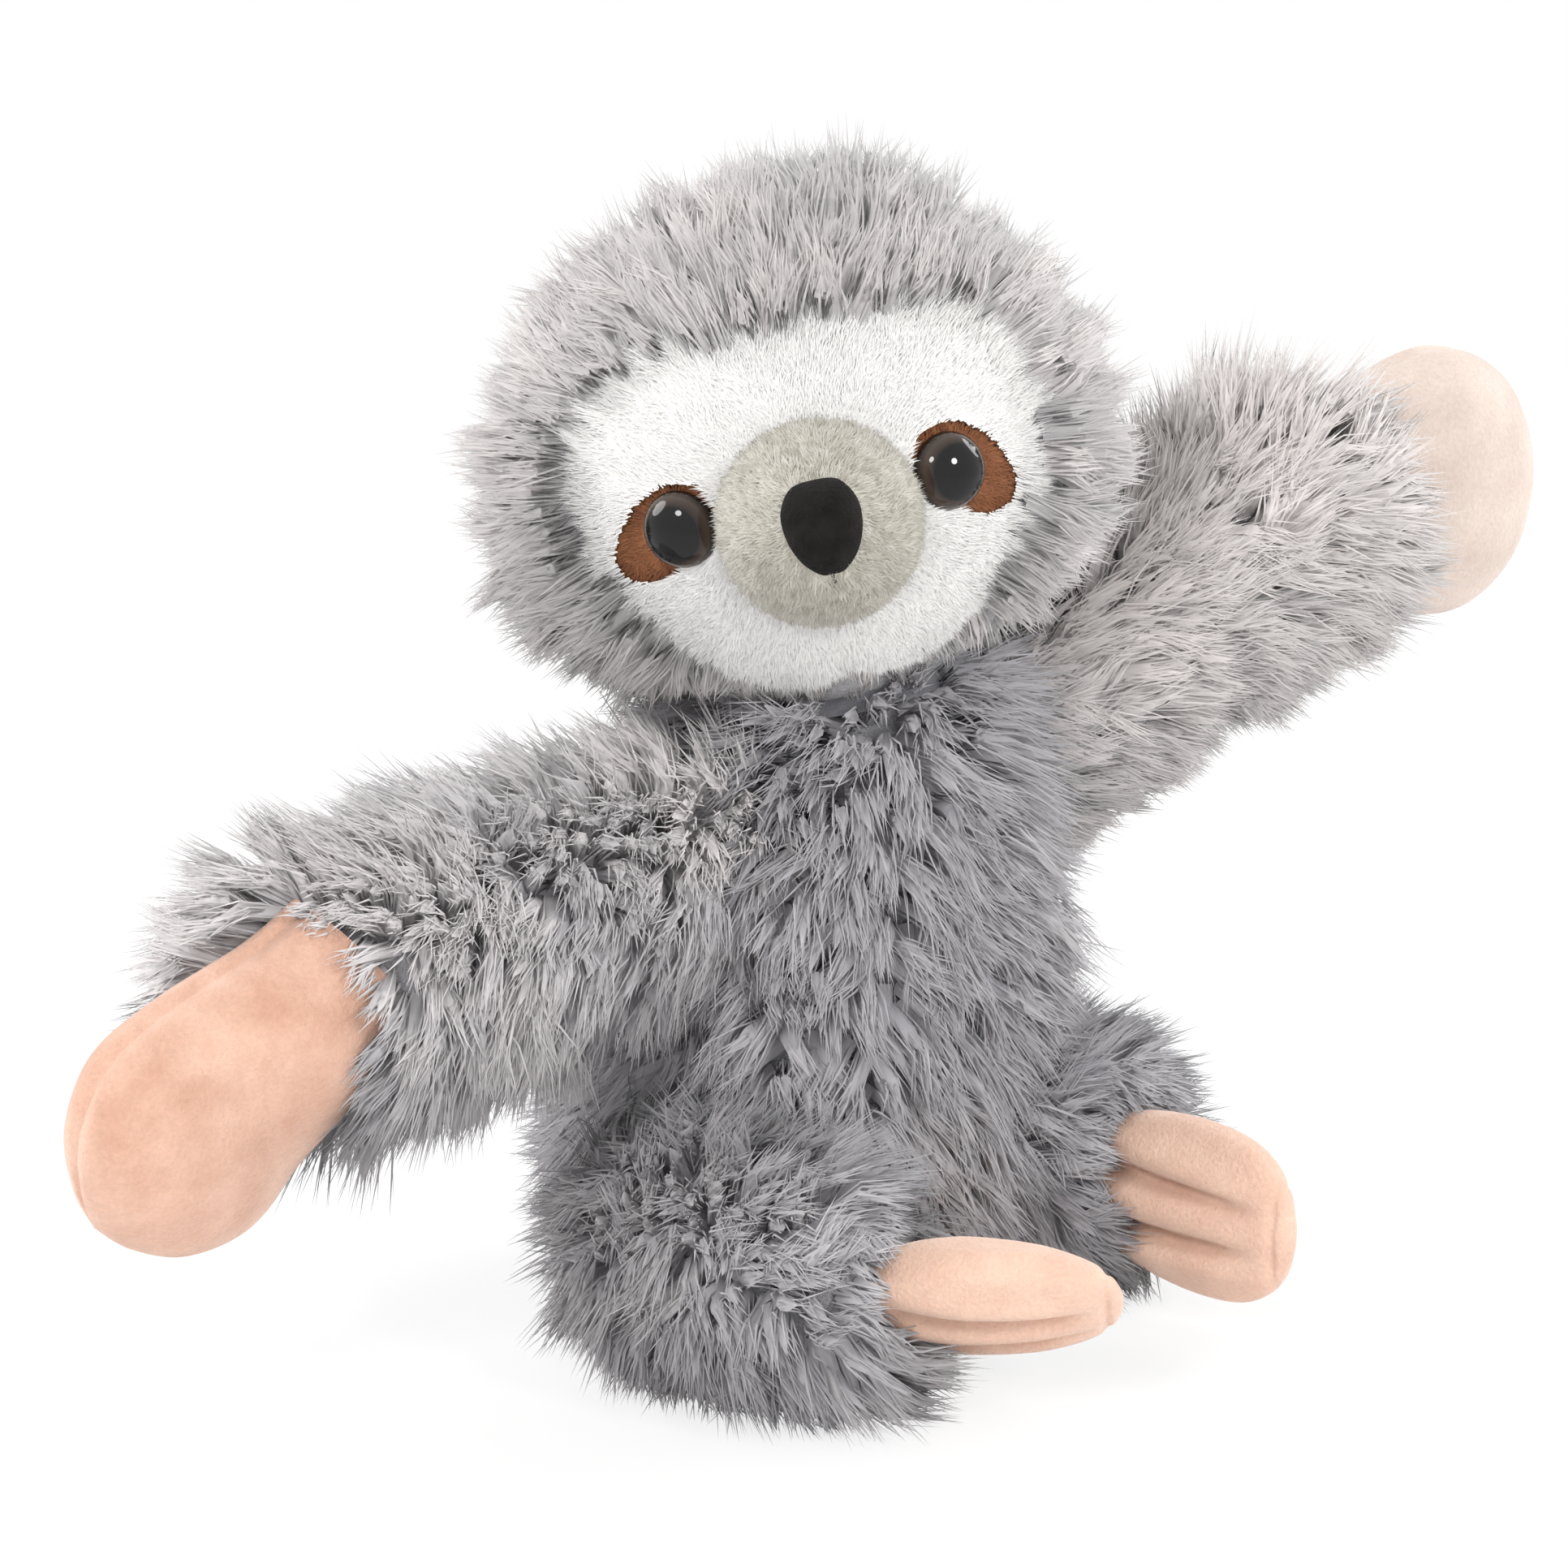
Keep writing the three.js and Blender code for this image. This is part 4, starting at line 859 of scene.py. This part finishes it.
def eyeDome(name, sign):
    # a lathe about the eye's outward axis: dome, flat back and stem
    s = eyeShape
    wide, deep, high = headHalves(s["cloth"])
    x, z = sign * s["x"], s["z"]
    y = -deep * math.sqrt(1 - (x / wide) ** 2 - (z / high) ** 2)
    out = unit(vector(x / wide ** 2, y / deep ** 2, z / high ** 2))
    polar = np.linspace(0.02, np.pi / 2, 26)
    stem = s["stemRadius"]
    radius = np.concatenate([s["radius"] * np.sin(polar), [s["radius"] * 0.97, stem, stem * 0.98]])
    height = np.concatenate([s["bulge"] * np.cos(polar) + s["gap"],
                             [s["gap"] - 0.0002, s["gap"] - 0.0003, -s["stemLength"]]])
    turn = fullTurn(64)
    rings = joined(radius[:, None] * np.cos(turn), radius[:, None] * np.sin(turn), height[:, None])
    uv = joined(turn / (2 * np.pi), np.clip(radius / s["radius"], 0, 1)[:, None]).reshape(-1, 2)
    eyePlace = Place(headMiddle + vector(x, y, z), np.cross(vector(0, 0, 1.0), out), out)
    return loft(name, headPlace.out(eyePlace.out(rings)), np.concatenate([uv, [[0.5, 0.0], [0.5, 0.3]]]))


eyeGloss = eyeLook()
for side, sign in reversed(headSides):
    dress(eyeDome(side + "EyeDome", sign), "head", eyeGloss, [side + "_eye"])
print("head and face made")

# Torso

torsoShape = {
    "seatRadius": 0.030, "seatHeight": 0.026, "chestRadius": 0.0245, "chestHeight": 0.070,
    "shoulderHeight": 0.088, "depthShare": 0.95, "pile": 0.0085, "neckRadius": 0.0175, "neckHeight": 0.104,
    "furLength": 0.0165, "lockSpacing": {"front": 0.00325, "back": 0.0036}, "tries": 70000,
    "shoulderClear": 0.0115, "hipClear": 0.0125,
}


def torsoProfile(extra):
    # heights and radii from the seat to inside the head
    s = torsoShape
    seat, chest = s["seatRadius"] + extra, s["chestRadius"] + extra
    bottom = (s["pile"] - extra) * 0.6 - 0.0012
    low = [(bottom + (s["seatHeight"] - bottom) * up, seat * wide)
           for up, wide in ((0, 0.62), (0.25, 0.86), (1, 1))]
    middle = [((s["seatHeight"] + s["chestHeight"]) / 2, (seat + chest) * 0.51), (s["chestHeight"], chest)]
    top = [(s["shoulderHeight"] - 0.006, chest * 0.86),
           (s["neckHeight"] - 0.006, s["neckRadius"] + extra / 2),
           (s["neckHeight"] + 0.004, s["neckRadius"] * 0.7)]
    return [*low, *middle, *top]


def torsoPoint(extra):
    # the profile turned upright; the lean carries each height towards the neck pivot
    def point(along, turn):
        height, radius = np.moveaxis(throughPoints(torsoProfile(extra), along), -1, 0)
        return joined(radius * np.cos(turn) + height * neckPivot[0] / neckPivot[2],
                      radius * np.sin(turn) * torsoShape["depthShare"] + height * neckPivot[1] / neckPivot[2],
                      height)
    return point


def surfaceNormal(point, along, turn, step=1e-3):
    # the cross product of the two small steps along the surface's own parameters
    first = point(along, turn + step) - point(along, turn - step)
    return unit(np.cross(first, point(along + step, turn) - point(along - step, turn)))


def tubeLocks(point, count, spacing, rng, low, high):
    # places drawn on a turned surface, thinned to one in each cell, with their normals
    along = low + (high - low) * rng.random(count)
    turn = rng.random(count) * 2 * np.pi
    places, along, turn = thinned(rng, spacing, point(along, turn), along, turn)
    return places, surfaceNormal(point, along, turn), along, turn


def tubeRings(point, rows, columns, low=0.0, high=1.0):
    # even rings on a turned surface, from low to high along it
    along, turn = np.broadcast_arrays(np.linspace(low, high, rows)[:, None], fullTurn(columns))
    return point(along, turn)


def inBall(points, centre, radius):
    # where the distance from the centre is less than the radius
    return np.linalg.norm(points - centre, axis=1) < radius


def torsoFur(side, sign, rng):
    # hair hangs down and a little outwards; at the neck it stands out under the chin
    s = torsoShape
    places, normals, _, _ = tubeLocks(torsoPoint(0.004), s["tries"], s["lockSpacing"][side], rng, 0.04, 0.93)
    keep = (places[:, 1] - places[:, 2] * neckPivot[1] / neckPivot[2]) * sign > 0
    keep &= places[:, 2] > 0.0025
    for limb in sides:
        keep &= ~inBall(places, shoulderPivot[limb], s["shoulderClear"])
        keep &= ~inBall(places, hipPivot[limb], s["hipClear"])
    places, normals = places[keep], normals[keep]
    neckward = smooth(places[:, 2], 0.066, 0.098)
    flow = vector(0, 0, -1.0) + normals * vector(0.25, 0.3, 0)
    flow = flow + vector(0, 0, 0.75) * neckward[:, None]
    low = smooth(-places[:, 2], -0.018, -0.004)
    length = s["furLength"] * (1 - 0.3 * low) * (1 + 0.25 * neckward)
    fur = {**longFur, "startLean": 0.4, "endLean": 0.92, "droop": 0.2, "swirl": 0.55, "leanSpread": 0.24}
    return growFur(side + "BodyFur", places, normals, flow, length, drift(places, 0.32), fur, rng,
                   -0.4 * neckward)


torsoRings = tubeRings(torsoPoint(0.0035), 60, 90)
torsoRings[..., 2] = np.maximum(torsoRings[..., 2], 0.0004)
dress(loft("torsoBacking", torsoRings), "torso", looks["greyFurBacking"], ["torso_skin"])
for seed, (side, sign) in enumerate((("front", -1), ("back", 1))):
    dress(torsoFur(side, sign, np.random.default_rng(31 + seed)), "torso", looks["greyFur"])
print("torso made")

# Hands

handShape = {
    "length": 0.046, "halfWide": 0.0230, "depthShare": 0.50,
    "baseHalfWide": {"right": 0.0160, "left": 0.0132},
    "palmBase": {"right": 0.95, "left": 0.50},  # the palm's depth share where it meets the sleeve
    "droop": math.radians(30), "roll": {"right": math.radians(-18), "left": 0.0},
    "wristBlend": (-0.003, 0.014),  # distances from the wrist, given to dress() as the hand's blend
    "seamDepth": 0.0011, "seamWidth": 0.11,  # its width in radians round the hand
}
handProfileShares = [(0.35, 0.93), (0.62, 1), (0.84, 0.76), (0.96, 0.36), (1, 0)]


def handPlace(side):
    # the arm's axes drooped at the wrist, then rolled about the hand's own length
    droop, roll = handShape["droop"], handShape["roll"][side]
    forward = armPlace[side].turn(vector(math.cos(droop), 0, -math.sin(droop)))
    upward = armPlace[side].turn(vector(math.sin(droop), 0, math.cos(droop)))
    sideward = np.cross(upward, forward)
    return Place(wristPivot[side], forward, upward * math.cos(roll) - sideward * math.sin(roll))


def handCurve(side, t):
    # distances from the wrist and half widths, from inside the sleeve to the hand's tip
    wide = handShape["baseHalfWide"][side]
    return throughPoints([(-0.0105, wide * 0.9), (0, wide), *[
        (handShape["length"] * far, handShape["halfWide"] * share) for far, share in handProfileShares]], t)


def handDepth(side, far, palmward):
    # the depth as a share of the width; the palm swells where it meets the sleeve
    share = handShape["depthShare"]
    swell = np.where(palmward > 0, handShape["palmBase"][side] - share, 0.0)
    return share + swell * (1 - smooth(far, 0.0, handShape["length"] * 0.42))


def outsideHand(side, points):
    # where points lie more than a hair's breadth outside the hand's egg
    far, y, z = handPlace(side).back(points).T
    curve = handCurve(side, np.linspace(0, 1, 60))
    wide = np.interp(far, curve[:, 0], curve[:, 1])
    reach = np.hypot(z, y / handDepth(side, far, y * palmSign[side])) / wide
    return (reach > 1.02) | (far < curve[0, 0] + 0.001)


def handHalf(side, name, face):
    # half of a flattened egg on one side of the seam, closed by the seam's own plane
    s = handShape
    curve = handCurve(side, 1 - (1 - np.linspace(0, 1, 56)) ** 1.6)
    far, wide = curve[:, :1], np.maximum(curve[:, 1:], 0.00005)
    turn = np.linspace(-np.pi / 2, np.pi / 2, 45)
    deepest = s["seamDepth"] * np.minimum(1, wide / 0.006)
    groove = deepest * np.exp(-((np.pi / 2 - np.abs(turn)) / s["seamWidth"]) ** 2)
    depth = handDepth(side, far, face * palmSign[side])
    outer = joined(far, face * (wide - groove) * np.cos(turn) ** 0.9 * depth, (wide - groove) * np.sin(turn))
    flat = joined(far, 0, (wide - deepest) * np.sin(turn))[:, ::-1]
    return loft(name, handPlace(side).out(np.concatenate([outer, flat[:, 1:-1]], 1)))


def bendBetween(first, second, place, low, high):
    # two bodies, and two points on the place's x axis, given to dress() as a blend
    return first, second, *(tuple(place.out(vector(x, 0, 0))) for x in (low, high))


for side in sides:
    for part, node, face in (("Palm", "_palm", 1), ("HandBack", "_hand_back", -1)):
        half = handHalf(side, side + part, face * palmSign[side])
        look = looks["palmVelour" if side == "right" else "palePeachVelour"]
        dress(half, None, look, [side + node],
              bendBetween(side + "_forearm", side + "_hand", handPlace(side), *handShape["wristBlend"]))
print("hands made")

# Arms

armShape = {
    "ballRadius": 0.0135, "rootRadius": 0.0130, "radius": 0.0155, "cuffRadius": 0.0162, "depthShare": 0.88,
    "cuffEnd": 0.004,  # how far the sleeve's furry end passes the wrist
    "slant": {"right": 0.009, "left": -0.004},  # the sleeve is cut shorter on its palm side
    "palmCut": {"right": 0.0025, "left": 0.0},  # and shorter still where the palm shows
    "furLength": 0.0170, "lockSpacing": {"upper": 0.0033, "fore": 0.0029}, "tries": 50000,
    # painted light: the arms' fur is painted lighter than the torso's, the left arm most
    "shade": {"right": 0.70, "left": 0.76},
    "paintedLightAbove": {"right": 0.16, "left": 0.24},  # painted light above and painted shade below
    "shoulderBlend": (-0.004, 0.014), "elbowBlend": 0.011,
}


def armProfile():
    # distances from the shoulder and radii of the sleeve's cloth
    s = armShape
    ball, radius, cuff, end = s["ballRadius"], s["radius"], s["cuffRadius"], wristReach + s["cuffEnd"]
    return [(-ball, 0.0004), (-ball * 0.8, ball * 0.6), (0, s["rootRadius"]),
            (elbowReach * 0.5, radius * 0.96), (elbowReach, radius),
            ((elbowReach + wristReach) / 2, radius * 1.02), (wristReach - 0.005, cuff),
            (end - 0.003, cuff * 0.86), (end + 0.001, cuff * 0.45), (end + 0.002, 0.0004)]


def armPoint(side):
    # the sleeve's profile turned about the arm; its end slants to leave the palm free
    def point(along, turn):
        x, radius = np.moveaxis(throughPoints(armProfile(), along), -1, 0)
        y, z = radius * np.cos(turn) * armShape["depthShare"], radius * np.sin(turn)
        palmward = palmSign[side] * y / armShape["cuffRadius"]
        cut = armShape["slant"][side] * palmward + armShape["palmCut"][side] * smooth(palmward, 0.0, 0.9)
        return armPlace[side].out(joined(x - cut * smooth(x, elbowReach, wristReach), y, z))
    return point


def armFur(side, part, rng):
    # hair lies along the arm towards the hand; it is short over the palm and long below the cuff
    s = armShape
    low, high = (0.13, 0.46) if part == "upper" else (0.44, 0.975)
    places, normals, along, _ = tubeLocks(armPoint(side), s["tries"], s["lockSpacing"][part], rng, low, high)
    keep = ~inBall(places, neckPivot + vector(0, 0, -0.02), 0.020) & outsideHand(side, places)
    places, normals, along = places[keep], normals[keep], along[keep]
    local = armPlace[side].back(places)
    palmward = np.clip(local[:, 1] * palmSign[side] / s["radius"], -1, 1)
    upward = np.clip(local[:, 2] / s["radius"], -1, 1)
    flow = armPlace[side].turn(vector(1.0, 0, 0)) + vector(0, 0, -0.35)
    outwards = armPlace[side].turn(unit(local * vector(0, 1, 1)))
    flow = flow + normals * 0.2 + outwards * 2.5 * smooth(along, 0.78, 0.86)[:, None]
    above = smooth(upward, 0.1, 0.8)
    length = s["furLength"] * (1 + 0.12 * above)
    lean = -0.22 * above
    if side == "right":
        cuff = smooth(local[:, 0], wristReach - 0.018, wristReach - 0.002)
        overPalm, hanging = cuff * smooth(palmward, -0.2, 0.45), cuff * smooth(-upward, 0.1, 0.8)
        length = length * (1 - 0.62 * overPalm) * (1 + 1.0 * hanging)
        lean = lean + 0.1 * overPalm - 0.25 * hanging
    else:
        armpit = (1 - smooth(local[:, 0], 0.028, 0.060)) * smooth(-upward, -0.1, 0.7)
        length = length * (1 - 0.42 * armpit)
    fur = {**longFur, "startLean": 0.42, "endLean": 1.0, "droop": 0.22}
    # painted light and shade: each arm's shade rises towards its top and falls below
    shades = drift(places, s["shade"][side]) + s["paintedLightAbove"][side] * upward
    return growFur(side + part.capitalize() + "ArmFur", places, normals, flow, length, shades, fur, rng, lean)


elbowBend = {side: bendBetween(side + "_upper_arm", side + "_forearm", armPlace[side],
                               elbowReach - armShape["elbowBlend"], elbowReach + armShape["elbowBlend"])
             for side in sides}
for seed, side in enumerate(sides):
    shoulderBend = bendBetween("torso", side + "_upper_arm", armPlace[side], *armShape["shoulderBlend"])
    for part, body, low, high, bend in (("Upper", side + "_upper_arm", 0.0, 0.5, None),
                                        ("Fore", side + "_forearm", 0.38, 1.0, elbowBend[side])):
        dress(loft(side + part + "ArmBacking", tubeRings(armPoint(side), 44, 64, low, high)), body,
              looks["greyFurBacking"], [body + "_skin"], bend)
    # painted light: the left arm takes the head fur's lighter, warmer colours
    look = looks["greyFur" if side == "right" else "greyHeadFur"]
    for part, start, bend in (("upper", 41, shoulderBend), ("fore", 51, elbowBend[side])):
        dress(armFur(side, part, np.random.default_rng(start + seed)), None, look, blend=bend)
print("arms made")

# Snap bands: the bowed steel strip in each arm and the calico pocket round it

bandShape = {"steel": 0.0004, "pocket": 0.0018, "wall": 0.0006}


def bandRings(node, side, thick, inset=0.0, rows=49):
    # rounded slots along the strip, as long, wide and bowed as the CAD node
    points = np.empty(len(node.data.vertices) * 3)
    node.data.vertices.foreach_get("co", points)
    local = armPlace[side].back(points.reshape(-1, 3))
    low, high = local.min(0), local.max(0)
    half, middle = (high[2] - low[2]) / 2, (high[2] + low[2]) / 2
    across = np.abs(local[:, 2] - middle) / half
    crown, rim = (local[near, 1].mean() for near in (across < 0.3, across > 0.9))
    x = np.linspace(low[0] + inset, high[0], rows)[:, None]
    turn = np.arange(32) * np.pi / 16
    y = crown + (rim - crown) * np.cos(turn) ** 2
    y = y + (thick / 2 - inset) * np.sign(np.sin(turn)) * np.abs(np.sin(turn)) ** 0.5
    return armPlace[side].out(joined(x, y, middle + (half - inset) * np.cos(turn)))


for side in sides:
    band, pocket = (frame["nodes"][side + name] for name in ("_snap_band", "_band_sleeve"))
    dress(loft(side + "SnapBand", bandRings(band, side, bandShape["steel"])), None, innerLooks["snap_band"],
          [side + "_snap_band"], elbowBend[side])
    walls = (bandRings(pocket, side, bandShape["pocket"]),
             bandRings(pocket, side, bandShape["pocket"], bandShape["wall"])[::-1])
    dress(loft(side + "BandPocket", np.concatenate(walls)), None, looks["calico"],
          [side + "_band_sleeve"], elbowBend[side])
print("snap bands made")

# Legs

legShape = {
    "right": {"heading": math.radians(-80), "turn": math.radians(74), "length": 0.048, "round": 0.005},
    "left": {"heading": math.radians(-4), "turn": math.radians(-36), "length": 0.027, "round": 0.0015},
    "ballRadius": 0.0135, "rootRadius": 0.0135, "radius": 0.0150, "ankleRadius": 0.0138,
    "furLength": 0.0165, "lockSpacing": {"right": 0.0030, "left": 0.0028}, "tries": 60000,
    # painted shade: the left leg's fur is painted darker than the right's
    "shade": {"right": 0.44, "left": 0.28}, "hipBlend": (-0.004, 0.010),
}


def legProfile(side):
    # distances from the hip and radii; the ankle's end is rounded
    s = legShape
    length, end, ball = s[side]["length"], s[side]["round"], s["ballRadius"]
    return [(-ball, 0.0004), (-ball * 0.8, ball * 0.6), (0, s["rootRadius"]),
            (length * 0.32, s["radius"]), (length * 0.7, s["radius"]),
            (length - end, s["ankleRadius"] * 0.95), (length + 0.002 - end * 0.8, s["ankleRadius"] * 0.65),
            (length + 0.0025 - end / 2, 0.0004)]


def headingOf(side):
    # the direction in which a leg leaves the hip, along the ground
    heading = legShape[side]["heading"]
    return vector(math.cos(heading), math.sin(heading), 0)


def legPoint(side):
    # the profile turned about a line that bends on an arc in the ground's plane
    arc = legShape[side]["length"] / legShape[side]["turn"]

    def point(along, turn):
        x, radius = np.moveaxis(throughPoints(legProfile(side), along), -1, 0)
        y, z = radius * np.cos(turn), radius * np.sin(turn)
        bentX = np.where(x < 0, x, (arc - y) * np.sin(x / arc))
        bentY = np.where(x < 0, y, arc - (arc - y) * np.cos(x / arc))
        points = Place(hipPivot[side], headingOf(side), [0, 0, 1]).out(joined(bentX, bentY, z))
        points[..., 2] = np.maximum(points[..., 2], 0.0006)
        return points
    return point


def torsoRadius(points, extra):
    # how far out each point is from the torso's leaning axis, as a share of the torso's own radius
    heights, radii = np.array(torsoProfile(extra)).T
    lean = points[:, 2:3] * neckPivot[:2] / neckPivot[2]
    out = (points[:, :2] - lean) / np.array([1, torsoShape["depthShare"]])
    return np.linalg.norm(out, axis=1) / np.interp(points[:, 2], heights, radii)


def legFur(side, rng):
    # hair lies along the leg towards the foot; it is short over the foot and long under it
    s = legShape
    point = legPoint(side)
    places, normals, along, turn = tubeLocks(point, s["tries"], s["lockSpacing"][side], rng, 0.03, 0.93)
    keep = (torsoRadius(places, 0.004) > 0.98) & (places[:, 2] > 0.0012)
    places, normals, along, turn = places[keep], normals[keep], along[keep], turn[keep]
    ahead = unit(point(along + 1e-3, turn) - point(along - 1e-3, turn))
    flow = ahead * 0.9 + vector(0, 0, -0.35) + normals * 0.2
    ankle = smooth(along, 0.60, 0.85)
    under = smooth(-normals[:, 2], -0.1, 0.6)
    ground = smooth(-places[:, 2], -0.012, -0.002) * (1 - ankle)
    length = s["furLength"] * (1 - 0.62 * ankle * (1 - under)) * (1 - 0.5 * ground)
    lean = 0
    if side == "right":
        facing = smooth(normals[:, 2], -0.2, 0.0) * smooth(-normals[:, 1], -0.3, -0.1)
        overFoot = smooth(along, 0.64, 0.74) * facing
        length = length * (1 + 0.25 * ankle * under) * (1 - 0.3 * overFoot)
        lean = 0.45 * overFoot
    fur = {**longFur, "startLean": 0.4, "endLean": 1.0, "droop": 0.18, "swirl": 0.6}
    # the left leg's lower middle shade is painted shade
    return growFur(side + "LegFur", places, normals, flow, length, drift(places, s["shade"][side]), fur, rng,
                   lean)


for seed, side in enumerate(sides):
    hipBend = ("torso", side + "_leg",
               *(tuple(hipPivot[side] + headingOf(side) * far) for far in legShape["hipBlend"]))
    dress(loft(side + "LegBacking", tubeRings(legPoint(side), 60, 64)), side + "_leg",
          looks["greyFurBacking"], [side + "_leg_skin"])
    dress(legFur(side, np.random.default_rng(61 + seed)), None, looks["greyFur"], blend=hipBend)
print("legs made")

# Feet

footShape = {
    "length": 0.0360, "behind": 0.0085, "halfWide": 0.0150, "halfThick": 0.0072,
    "pitch": {"right": 0.0, "left": math.radians(5)},
    "creaseDepthShare": 0.42, "creaseWidth": 0.0015, "puffShare": 0.10,
    "creaseAt": 0.0050,  # either side of the middle toe
    "tipSeamAt": 0.93,  # share of the length where the toes end in one stitched edge
    "tipSeamDepth": 0.0006, "tipSeamWidth": 0.018,
}
footProfileShares = [(0.0, 0.72), (0.22, 0.92), (0.5, 1.0), (0.76, 0.93), (0.92, 0.66), (0.985, 0.3),
                     (1.0, 0.0)]


def footPlace(side):
    # ahead along the leg's end, tipped down by the pitch, with the ankle's own axis upright
    pitch = footShape["pitch"][side]
    turn = legShape[side]["heading"] + legShape[side]["turn"]
    forward = [math.cos(turn) * math.cos(pitch), math.sin(turn) * math.cos(pitch), -math.sin(pitch)]
    return Place(anklePivot[side], forward, axisOf(side + "_ankle_flex"))


def footHalf(side, name, face):
    # half of a mitt on one side of its edge seam; two creases part three toes, which end in one edge
    s = footShape
    curve = throughPoints([
        (-s["behind"], 0.0), (-s["behind"] * 0.7, s["halfWide"] * 0.45),
        *[(s["length"] * far, s["halfWide"] * wide) for far, wide in footProfileShares]],
        1 - (1 - np.linspace(0, 1, 90)) ** 1.4)
    far, wide = curve[:, :1], np.maximum(curve[:, 1:], 0.00005)
    share = np.clip(far / s["length"], 0, 1)
    tip = np.sqrt(np.clip(1 - share ** 2.6, 0, 1))
    thick = s["halfThick"] * np.minimum((wide / s["halfWide"]) ** 0.6, tip) + 0.0002
    turn = np.linspace(-np.pi / 2, np.pi / 2, 81)
    z = wide * np.sin(turn)
    creaseAt = s["creaseAt"] * (1 - 0.25 * share)
    fold = sum(np.exp(-((z - edge * creaseAt) / s["creaseWidth"]) ** 2) for edge in (-1, 1))
    run = smooth(far, -0.004, 0.004) * (1 - 0.85 * smooth(share, 0.62, 0.9))
    puff = s["puffShare"] * np.cos(np.pi * z / creaseAt) * run
    seam = s["tipSeamDepth"] * np.exp(-((share - s["tipSeamAt"]) / s["tipSeamWidth"]) ** 2)
    y = thick * np.cos(turn) ** 0.75 * (1 - s["creaseDepthShare"] * fold * run + puff) - seam
    outer = joined(far, face * np.maximum(y, 0), z)
    flat = outer[:, ::-1] * vector(1, 0, 1)
    return loft(name, footPlace(side).out(np.concatenate([outer, flat[:, 1:-1]], 1)))


for side in sides:
    for part, node, face in (("FootTop", "_foot_top", -1), ("FootSole", "_foot_sole", 1)):
        dress(footHalf(side, side + part, face), side + "_foot", looks["peachVelour"],
              [side + node])
print("feet made")

# Floor, lights and camera

studio = {
    "floorColour": (0.93, 0.93, 0.93, 1),
    "floorGlow": (0.80, 1.0),  # near the toy, and from a metre away
    "worldLevel": 0.72,
    "lamps": {"key": ((-0.65, -1.15, 1.05), 0.42, 9.0), "fill": ((0.9, -1.0, 0.75), 0.34, 9.0),
              "rimRight": ((0.95, 0.65, 0.7), 0.8, 10.0), "rimLeft": ((-1.1, 0.2, 0.75), 0.8, 10.0)},
    "target": Vector((0.0, 0.0, 0.086)), "distance": 0.9, "elevation": math.radians(14), "lens": 127.4,
}


def seenDirectly(tree):
    # 1 for rays from the camera, in gloss and through glass, and 0 for the light on the toy
    path = addNode(tree, "LightPath")
    share = path["Is Camera Ray"]
    for ray in ("Is Glossy Ray", "Is Transmission Ray"):
        share = addNode(tree, "Math", {0: share, 1: path[ray]}, operation="MAXIMUM")["Value"]
    return share


def floorLook():
    # pale floor that keeps the shadow and shows as white to the camera
    material, tree, shader = newMaterial("floorPaper", {
        "Roughness": 0.9, "Base Color": studio["floorColour"]})
    away = addNode(tree, "VectorMath", {0: addNode(tree, "TexCoord")["Object"]}, operation="LENGTH")["Value"]
    low, high = studio["floorGlow"]
    glow = addNode(tree, "MapRange", {"From Min": 0.2, "From Max": 1.0, "To Min": low, "To Max": high,
                                      "Value": away})["Result"]
    share = addNode(tree, "Math", {0: seenDirectly(tree), 1: glow}, operation="MULTIPLY")["Value"]
    mix = addNode(tree, "MixShader", {"Fac": share, 1: shader.outputs["BSDF"],
                                      2: addNode(tree, "Emission")["Emission"]})
    tree.links.new(mix["Shader"], tree.nodes["Material Output"].inputs["Surface"])
    return material


def makeFloor():
    # a floor that curves up into a back wall all round, far behind the toy
    curl = np.linspace(0.1, np.pi / 2, 8)
    reach = np.concatenate([[0.02], np.linspace(0.4, 3.0, 8), 3.0 + np.sin(curl)])[:, None]
    height = np.concatenate([np.zeros(9), 1 - np.cos(curl)])[:, None]
    turn = fullTurn(48)
    rings = joined(reach * np.cos(turn), reach * np.sin(turn), height)
    index, quads = ringGrid(*rings.shape[:2])
    mesh = bpy.data.meshes.new("floor")
    mesh.from_pydata(rings.reshape(-1, 3).tolist(), [], [*quads.tolist(), index[0].tolist()])
    mesh.polygons.foreach_set("use_smooth", np.ones(len(mesh.polygons), bool))
    mesh.materials.append(floorLook())
    linked("floor", mesh)


def aim(thing, place, direction):
    # moves a lamp or camera to its place, looking along the direction
    thing.location = place
    thing.rotation_mode = "QUATERNION"
    thing.rotation_quaternion = direction.to_track_quat("-Z", "Y")


def makeLamp(name, place, size, power):
    lamp = bpy.data.lights.new(name, "AREA")
    lamp.shape, lamp.size, lamp.energy = "DISK", size, power
    aim(linked(name, lamp), place, studio["target"] - Vector(place))


def makeWorld():
    world = bpy.data.worlds.new("studio")
    bpy.context.scene.world = world
    world.use_nodes = True
    tree = world.node_tree
    level = addNode(tree, "MapRange", {"To Min": studio["worldLevel"], "To Max": 1.0,
                                       "Value": seenDirectly(tree)})["Result"]
    setInputs(tree, tree.nodes["Background"], {"Color": (1, 1, 1, 1), "Strength": level})


def makeCamera():
    camera = linked("camera", bpy.data.cameras.new("camera"))
    back = Vector((0, -math.cos(studio["elevation"]), math.sin(studio["elevation"])))
    aim(camera, studio["target"] + back * studio["distance"], -back)
    camera.data.lens, camera.data.sensor_width, camera.data.clip_start = studio["lens"], 36, 0.05
    bpy.context.scene.camera = camera


makeFloor()
makeWorld()
for lampName, values in studio["lamps"].items():
    makeLamp(lampName, *values)
makeCamera()
bpy.context.scene.view_settings.view_transform = "Standard"
print("studio made")
